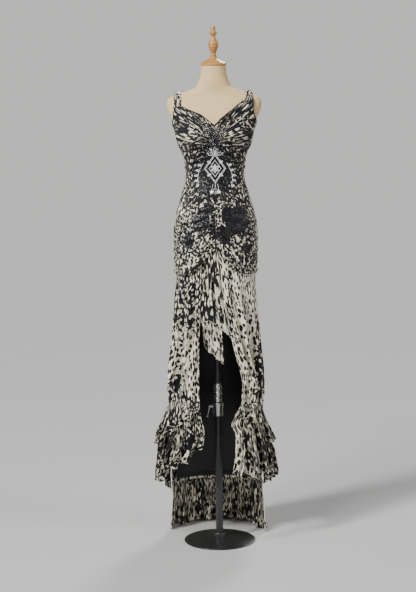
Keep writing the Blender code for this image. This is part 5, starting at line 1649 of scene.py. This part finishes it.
STRAP_CREASES = table(Crease, (
    (0.24, 0.04, 0.28, 0.97, 0.0022, 0.0012, 0.001), (0.52, 0.03, 0.48, 0.98, 0.002, -0.0008, 0.001),
    (0.76, 0.04, 0.74, 0.97, 0.0024, 0.0013, -0.001), (0.02, 0.395, 0.98, 0.4, 0.0032, 0.006, 0.001),
    (0.0, 0.355, 0.8, 0.362, 0.0026, 0.0042, 0.001), (0.25, 0.44, 1.0, 0.432, 0.0026, 0.0044, 0.001),
    (0.05, 0.31, 0.7, 0.325, 0.0024, 0.0026, 0.002), (0.3, 0.48, 0.95, 0.47, 0.0024, 0.0026, 0.001),
    (0.1, 0.13, 0.85, 0.105, 0.0026, 0.0018, 0.001), (0.15, 0.9, 0.9, 0.88, 0.0026, 0.0018, 0.001),
))
HEM_GATHERING = table(Gather, (
    (0.05, 0.022, 0.03, 1.6, 0.02, 0.012), (0.13, 0.016, 0.01, 1.6, -0.01, -0.019),
    (0.21, 0.018, 0.0, 1.6, 0.015, 0.0165), (0.3, 0.015, 0.06, 1.6, 0.01, -0.021),
    (0.38, 0.022, 0.01, 1.6, -0.02, 0.015), (0.46, 0.013, 0.03, 1.6, 0.012, -0.015),
    (0.53, 0.012, 0.03, 1.6, 0.004, 0.011), (0.58, 0.015, 0.0, 1.6, -0.012, -0.018),
    (0.65, 0.02, 0.03, 1.6, 0.018, 0.017), (0.74, 0.016, 0.06, 1.6, 0.01, -0.021),
    (0.81, 0.018, 0.01, 1.6, -0.015, 0.015), (0.88, 0.013, 0.03, 1.6, 0.008, -0.014),
    (0.94, 0.016, 0.01, 1.6, -0.012, 0.013),
))
TRAIN_GATHERING = table(Gather, (
    (0.0, 0.026, 0.2, 1.3, 0.0, 0.014), (0.06, 0.018, 0.05, 1.2, 0.012, 0.0175),
    (0.15, 0.015, 0.08, 1.1, -0.01, 0.012), (0.24, 0.024, 0.04, 1.25, 0.022, 0.025),
    (0.35, 0.014, 0.1, 1.1, 0.01, 0.011), (0.43, 0.018, 0.06, 1.25, -0.018, 0.022),
    (0.53, 0.028, 0.05, 1.25, 0.016, 0.027), (0.64, 0.015, 0.06, 1.1, 0.012, 0.012),
    (0.71, 0.021, 0.05, 1.25, 0.01, 0.024), (0.81, 0.014, 0.08, 1.1, -0.012, 0.013),
    (0.91, 0.02, 0.05, 1.2, 0.008, 0.019), (1.0, 0.024, 0.2, 1.3, 0.0, 0.012),
))

HIP_CRUMPLES = table(Crumple, ((4, 17, 1.2, 0.0005), (9, 9, 1.6, 0.0004)))
PANEL_CRUMPLES = table(Crumple, ((5, 3, 1.2, 0.0014), (9, -4, 1.5, 0.0010)))
FLOUNCE_CRUMPLES = table(Crumple, ((11, 2, 1.3, 0.0024), (17, -3, 1.0, 0.0014)))
RUFFLE_CRUMPLES = table(Crumple, ((13, 1, 1.1, 0.0014), (23, 2, 0.8, 0.0008)))
BACK_SKIRT_CRUMPLES = table(Crumple, ((5, 4, 1.2, 0.0014), (8, -5, 1.4, 0.0010)))
FLOUNCE_CRUMPLED_FROM, RUFFLE_CRUMPLED_FROM = 0.4, 0.15

# Frills at a hem, and puckers under a gathered seam: turns across, depth in metres, and the share of the
# way that they take, where it isn't the usual one
FLOUNCE_FRILL, RUFFLE_FRILL = (30, 0.0024), (34, 0.0016, 0.3)
TAIL_FRILL, TRAIN_FRILL = (9, 0.0012), (36, 0.0012, 0.06)
RUFFLE_PUCKERS, TRAIN_PUCKERS = (41, 0.0011), (47, 0.0011, 0.2)

# How much deeper the creases grow towards a hem, and how far the cloth may move in at top and foot
PANEL_GROWTH, CENTRE_GROWTH = 2.2, 0.7
PANEL_ROOM, BACK_SKIRT_ROOM = (0.003, 0.05), (0.0005, 0.0005)


# The bias bindings: how far they stand on the cloth and swell, their thickness, and their widths
BINDING_LIFT, BINDING_DOME, BINDING_THICKNESS = 0.0011, 0.0011, 0.0009
NECKLINE_BAND, ARMHOLE_BAND, BACK_NECK_BAND = 0.010, 0.006, 0.008
UNDER_ARM, INSIDE_SKIRT = 0.12, 0.14       # places that straps and the under drape face away from


def band(name, piece, start, end, width, edge, material, steps=110):
    """A bias binding over part of a piece's foot or top edge, a little domed."""
    along, across = np.meshgrid(np.linspace(start, end, steps), np.linspace(0, 1, 9))
    reach = np.interp(along, np.linspace(0, 1, piece.grid.shape[1]), lengths(piece.grid, 0))
    inset = width / reach * (1 - across)
    laid = on_piece(piece, along.ravel(), (1 - inset if edge == "foot" else inset).ravel(), 1.0)
    place, normal = laid.points.reshape(along.shape + (3,)), laid.normals.reshape(along.shape + (3,))
    dome = np.sin(math.pi * mix(0.08, 0.92, across))
    outer = place + normal * (BINDING_LIFT + BINDING_DOME * dome)[..., None]
    flat = np.stack((along * lengths(place, 1).max(), across * width), axis=-1)
    return ridden(shell(name, outer, normal, BINDING_THICKNESS, material, flat))


def make_bodice(binding):
    pieces = {}
    for side, sign in SIGNS.items():
        cup = printed_chiffon(f"cup_print_{side}", PRINTS["cup"], CUP_SHADES[side], CUP_LIGHTS[side])
        strap = printed_chiffon(f"strap_print_{side}", PRINTS["strap"])
        back = printed_chiffon(f"back_print_{side}", PRINTS["bodice_back"])

        def cup_bindings(piece, side=side):
            return [
                band(f"neckline_band_{side}", piece, 0.0, NECKLINE_END, NECKLINE_BAND, "foot", binding, 130),
                band(f"armhole_band_{side}", piece, STRAP_END, ARMHOLE_END, ARMHOLE_BAND, "foot", binding),
            ]

        def back_binding(piece, side=side):
            return [band(f"back_neck_band_{side}", piece, 0, 1, BACK_NECK_BAND, "top", binding, 60)]

        pieces[f"cup_{side}"] = cloth(
            f"gathered_cup_{side}", cup_surface(side), "cup", cup, f"cup_{side}",
            relief=gathered(CUP_GATHERING[side]), trims=cup_bindings,
        )
        cloth(
            f"shoulder_strap_{side}", strap_surface(side), "strap", strap, f"strap_{side}",
            relief=creased(STRAP_CREASES), behind=(sign * UNDER_ARM, 0, BODICE_TOP),
        )
        cloth(
            f"bodice_back_{side}", back_surface(side), "bodice_back", back, f"back_{side}",
            relief=creased(BODICE_BACK_CREASES), trims=back_binding,
        )
    midriff = printed_chiffon("midriff_print", PRINTS["midriff"], UNDERBUST_SHADES, black=(BEADED_PANEL,))
    pieces["midriff"] = cloth(
        "fitted_midriff", midriff_surface, "midriff", midriff, "midriff_front",
        relief=creased(MIDRIFF_CREASES),
    )
    pieces["tab"] = cloth(
        "beaded_tab", tab_surface, "tab", black_net(), "centre_tab",
    )
    return pieces


def make_hips():
    puckers = table(Crease, [
        (PUCKER_START, p.v, PUCKER_START + p.reach, p.v + p.fall, PUCKER_WIDTH, p.depth, PUCKER_BEND)
        for p in CENTRE_PUCKERS
    ])
    pieces = {}
    for side in SIGNS:
        hips = printed_chiffon(f"hip_print_{side}", PRINTS["hips"], light=HIP_LIGHTS, black=SEQUINNED)
        pieces[side] = cloth(
            f"ruched_hip_{side}", hip_surface(side), "hips", hips, f"hip_drape_{side}",
            relief=together(creased(HIP_CREASES[side] + puckers), crumpled(HIP_CRUMPLES)),
        )
    return pieces


def make_skirt(hem):
    for side in SIGNS:
        front, seam = ("end", "start") if side == "left" else ("start", "end")
        panel = printed_chiffon(f"panel_print_{side}", PRINTS[f"panel_{side}"], PANEL_SHADES[side])
        flounce = printed_chiffon(f"flounce_print_{side}", PRINTS[f"flounce_{side}"])
        cloth(
            f"skirt_panel_{side}", panel_surface(side), "panel", panel, f"skirt_{side}",
            relief=together(creased(PANEL_CREASES[side], PANEL_GROWTH, PANEL_ROOM), crumpled(PANEL_CRUMPLES)),
            trims=rolled_hems(f"panel_hem_{side}", hem, front),
        )
        cloth(
            f"hem_flounce_{side}", flounce_surface(side), "flounce", flounce, f"flounce_{side}",
            relief=together(
                gathered(HEM_GATHERING), drawn_in(side, FLOUNCE_INSET), frilled(*FLOUNCE_FRILL),
                crumpled(FLOUNCE_CRUMPLES, FLOUNCE_CRUMPLED_FROM),
            ),
            trims=rolled_hems(f"flounce_hem_{side}", hem, "foot", front),
        )
        cloth(
            f"short_ruffle_{side}", ruffle_surface(side), "ruffle", flounce, f"ruffle_{side}",
            relief=together(
                over_flounce(side), puckered(*RUFFLE_PUCKERS), frilled(*RUFFLE_FRILL),
                crumpled(RUFFLE_CRUMPLES, RUFFLE_CRUMPLED_FROM),
            ),
            trims=rolled_hems(f"ruffle_hem_{side}", hem, "foot", front, seam),
        )
    centre = printed_chiffon("centre_print", PRINTS["centre"])
    cloth(
        "centre_drape", panel_surface("centre"), "centre", centre, "skirt_centre",
        relief=creased(CENTRE_CREASES, CENTRE_GROWTH), trims=rolled_hems("centre_hem", hem, "foot"),
    )
    tail = printed_chiffon("under_drape_print", PRINTS["under_drape"])
    cloth(
        "under_tail", under_drape_surface, "under_drape", tail, "under_drape",
        relief=together(creased(TAIL_CREASES), frilled(*TAIL_FRILL)), behind=(0, INSIDE_SKIRT, HEM_CENTRE(0)),
        trims=rolled_hems("tail_hem", hem, "foot", "start", "end"),
    )
    back = printed_chiffon("back_skirt_print", PRINTS["back_skirt"])
    cloth(
        "back_panel", panel_surface("back"), "back_skirt", back, "skirt_back",
        relief=together(
            creased(BACK_SKIRT_CREASES, PANEL_GROWTH, BACK_SKIRT_ROOM), crumpled(BACK_SKIRT_CRUMPLES),
        ),
    )
    train = printed_chiffon("train_print", PRINTS["train"], TRAIN_SHADES)
    cloth(
        "train_flounce", train_surface, "train", train, "train",
        relief=together(
            puckered(*TRAIN_PUCKERS), gathered(TRAIN_GATHERING), raised(frilled(*TRAIN_FRILL)),
        ),
        trims=rolled_hems("train_hem", hem, "foot", "start", "end"),
    )
    cloth(
        "black_back_lining", lining_surface, "lining", black_satin(), "back_lining",
    )


SEQUIN, SEQUIN_PITCH, SEQUIN_TILT, HIP_SEQUIN_TILT = 0.0024, 0.0042, 0.10, 0.12
STRAY_SEQUINS = 0.86            # the noise from which a sequin lies alone between the patches
# Shares down the midriff and the hips between which sequins and loose beads lie, and room at seams
MIDRIFF_SEQUINS, LOOSE_BEADS, HIP_SEQUINS_TO = (0.03, 0.985), (0.04, 0.97), 0.93
CENTRE_SEAM_ROOM, HIP_TOP_ROOM = 0.002, 0.004
CLUSTER_BEAD, CLUSTER_GLINT, TAB_BEAD_SIZES, TAB_GLINT = 0.0018, 0.0014, (0.0014, 0.0023), 0.0015
TAB_PLACES, CUP_PLACES, MIDRIFF_PLACES = 260, 150, 110      # places in each cluster
TAB_BEADS, CUP_BEADS, MIDRIFF_BEADS = 200, 120, 80          # black beads on them; the rest are silver
DESIGN_HEIGHT = 1.456
LOOSE_PITCH = 0.019             # between the single beads round the design
DESIGN_ROOM_WIDTH, DESIGN_ROOM_HEIGHT, DESIGN_ROOM_EDGE = 0.045, 0.07, 1.2
HIP_FRONT = Patch(0.0, 1.235, 0.100, 0.075)     # where the hips' sequins are looked for


def make_beading(bodice, hips):
    """Black sequins over the panel and the hips' dark patches, and the silver design on the panel."""
    x, height = tiled(BEADED_PANEL, SEQUIN_PITCH)
    kept = inside(BEADED_PANEL, x, height, 1.4)
    u, v = midriff_shares(x[kept], height[kept])
    on_cloth = (v > MIDRIFF_SEQUINS[0]) & (v < MIDRIFF_SEQUINS[1])
    laid = [on_piece(bodice["midriff"], u[on_cloth], v[on_cloth], SEQUIN, SEQUIN_TILT)]
    x, height = tiled(HIP_FRONT, SEQUIN_PITCH)
    kept = np.any([inside(patch, x, height, 1.5) for patch in SEQUINNED], axis=0)
    stray = value_noise(x, height, 70, 9) > STRAY_SEQUINS
    for side, sign in SIGNS.items():
        here = (kept | stray) & (x * sign > CENTRE_SEAM_ROOM) & (height < HIP_TOP - HIP_TOP_ROOM)
        u, v = hip_shares(x[here], height[here])
        on_cloth = v < HIP_SEQUINS_TO
        laid.append(on_piece(hips[side], u[on_cloth], v[on_cloth], SEQUIN, HIP_SEQUIN_TILT))
    scatter("black_sequins", joined(*laid), *cupped_sequin(), sequin_black(), "beaded_black")

    silver = silver_beads()
    design = bead_design()
    u, v = midriff_shares(design[:, 0], design[:, 1] + DESIGN_HEIGHT)
    laid = [on_piece(bodice["midriff"], u, v, BEAD)]
    x, height = tiled(BEADED_PANEL, LOOSE_PITCH)
    away = np.abs(x) / DESIGN_ROOM_WIDTH + np.abs(height - DESIGN_HEIGHT) / DESIGN_ROOM_HEIGHT
    kept = inside(BEADED_PANEL, x, height) & (away > DESIGN_ROOM_EDGE)
    u, v = midriff_shares(x[kept], height[kept])
    laid.append(on_piece(bodice["midriff"], u, clamp(v, *LOOSE_BEADS), SMALL_BEAD))
    scatter("silver_bead_design", joined(*laid), *round_bead(), silver, "beaded_black")

    jet, glints = [], []

    def cluster(piece, u, v, beads, size=CLUSTER_BEAD, glint=CLUSTER_GLINT):
        jet.append(on_piece(piece, u[:beads], v[:beads], size))
        glints.append(on_piece(piece, u[beads:], v[beads:], glint))

    u, v = DICE.uniform(0, 1, TAB_PLACES), DICE.uniform(0, 1, TAB_PLACES)
    cluster(bodice["tab"], u, v, TAB_BEADS, DICE.uniform(*TAB_BEAD_SIZES, TAB_BEADS), TAB_GLINT)
    for side in SIGNS:
        u, v = DICE.uniform(0.12, 0.97, CUP_PLACES), 0.02 + 0.30 * DICE.uniform(0, 1, CUP_PLACES) ** 1.6
        cluster(bodice[f"cup_{side}"], u, v, CUP_BEADS)
    u, v = DICE.normal(0.5, 0.055, MIDRIFF_PLACES), 0.03 + 0.10 * DICE.uniform(0, 1, MIDRIFF_PLACES)
    cluster(bodice["midriff"], u, v, MIDRIFF_BEADS)
    scatter("black_bead_cluster", joined(*jet), *round_bead(), sequin_black(), "beaded_black")
    scatter("silver_bead_cluster", joined(*glints), *round_bead(), silver, "beaded_black")


# The camera, the lights and the floor

PHOTO_HEIGHT = 592
FOCAL_PIXELS = 1241
CAMERA_PLACE, CAMERA_PITCH, CAMERA_ROLL = (-0.0333, -4.8, 1.45), 5.69, -0.8
FLOOR_HALF = 40.0
BACKDROP, CEILING = (0.662, 0.655, 0.643, 1), (0.08, 0.08, 0.09, 1)


def studio():
    camera = bpy.data.objects.new("camera", bpy.data.cameras.new("camera"))
    camera.location = CAMERA_PLACE
    camera.rotation_euler = (math.pi / 2 - math.radians(CAMERA_PITCH), 0, 0)
    camera.rotation_euler.rotate_axis("Z", math.radians(CAMERA_ROLL))
    camera.data.sensor_width = 36
    camera.data.lens = FOCAL_PIXELS / PHOTO_HEIGHT * camera.data.sensor_width
    bpy.context.scene.collection.objects.link(camera)
    bpy.context.scene.camera = camera
    for name, kind, place, softness, strength in (
        ("key_light", "SUN", (-0.80, -0.72, 0.78), math.radians(9), 3.3),
        ("side_light", "SUN", (0.80, -0.50, 0.45), math.radians(20), 1.0),
        ("back_light", "SUN", (0.35, 0.90, 0.70), math.radians(15), 2.0),
        ("top_light", "AREA", (-1.0, -1.5, 2.9), 0.45, 50),
    ):
        light = bpy.data.objects.new(name, bpy.data.lights.new(name, kind))
        light.data.energy = strength
        if kind == "SUN":
            light.data.angle = softness
            towards = Vector(place)
        else:
            light.data.size = softness
            light.location = place
            towards = light.location - Vector((0, 0, BUST_HEIGHT))
        light.rotation_euler = towards.to_track_quat("Z", "Y").to_euler()
        bpy.context.scene.collection.objects.link(light)
    world = bpy.data.worlds.new("studio")
    world.use_nodes = True
    sky = Nodes(world.node_tree)
    rise = sky.axes(sky.place("Generated"))[2]
    wall = sky.blend(BACKDROP, CEILING, sky.clamped((rise - 0.14) * 3))
    sky.put(world.node_tree.nodes["Background"].inputs["Color"], wall)
    bpy.context.scene.world = world
    finish = Finish("pale_floor", 0.90, specular=0.0)
    drift = finish.noise(finish.place(), 1.2, 3.0)
    floor_paint = finish.colour(finish.blend((0.50, 0.495, 0.485, 1), (0.53, 0.525, 0.515, 1), drift))
    corners = [(x * FLOOR_HALF, y * FLOOR_HALF, 0) for x, y in ((-1, -1), (1, -1), (1, 1), (-1, 1))]
    mesh_object("floor", corners, [(0, 1, 2, 3)], floor_paint)


make_form(form_cotton(), turned_pine(), waxed_thread())
make_stand(painted_steel(), bright_plating())
make_beading(make_bodice(black_binding()), make_hips())
make_skirt(rolled_edge_thread())
studio()
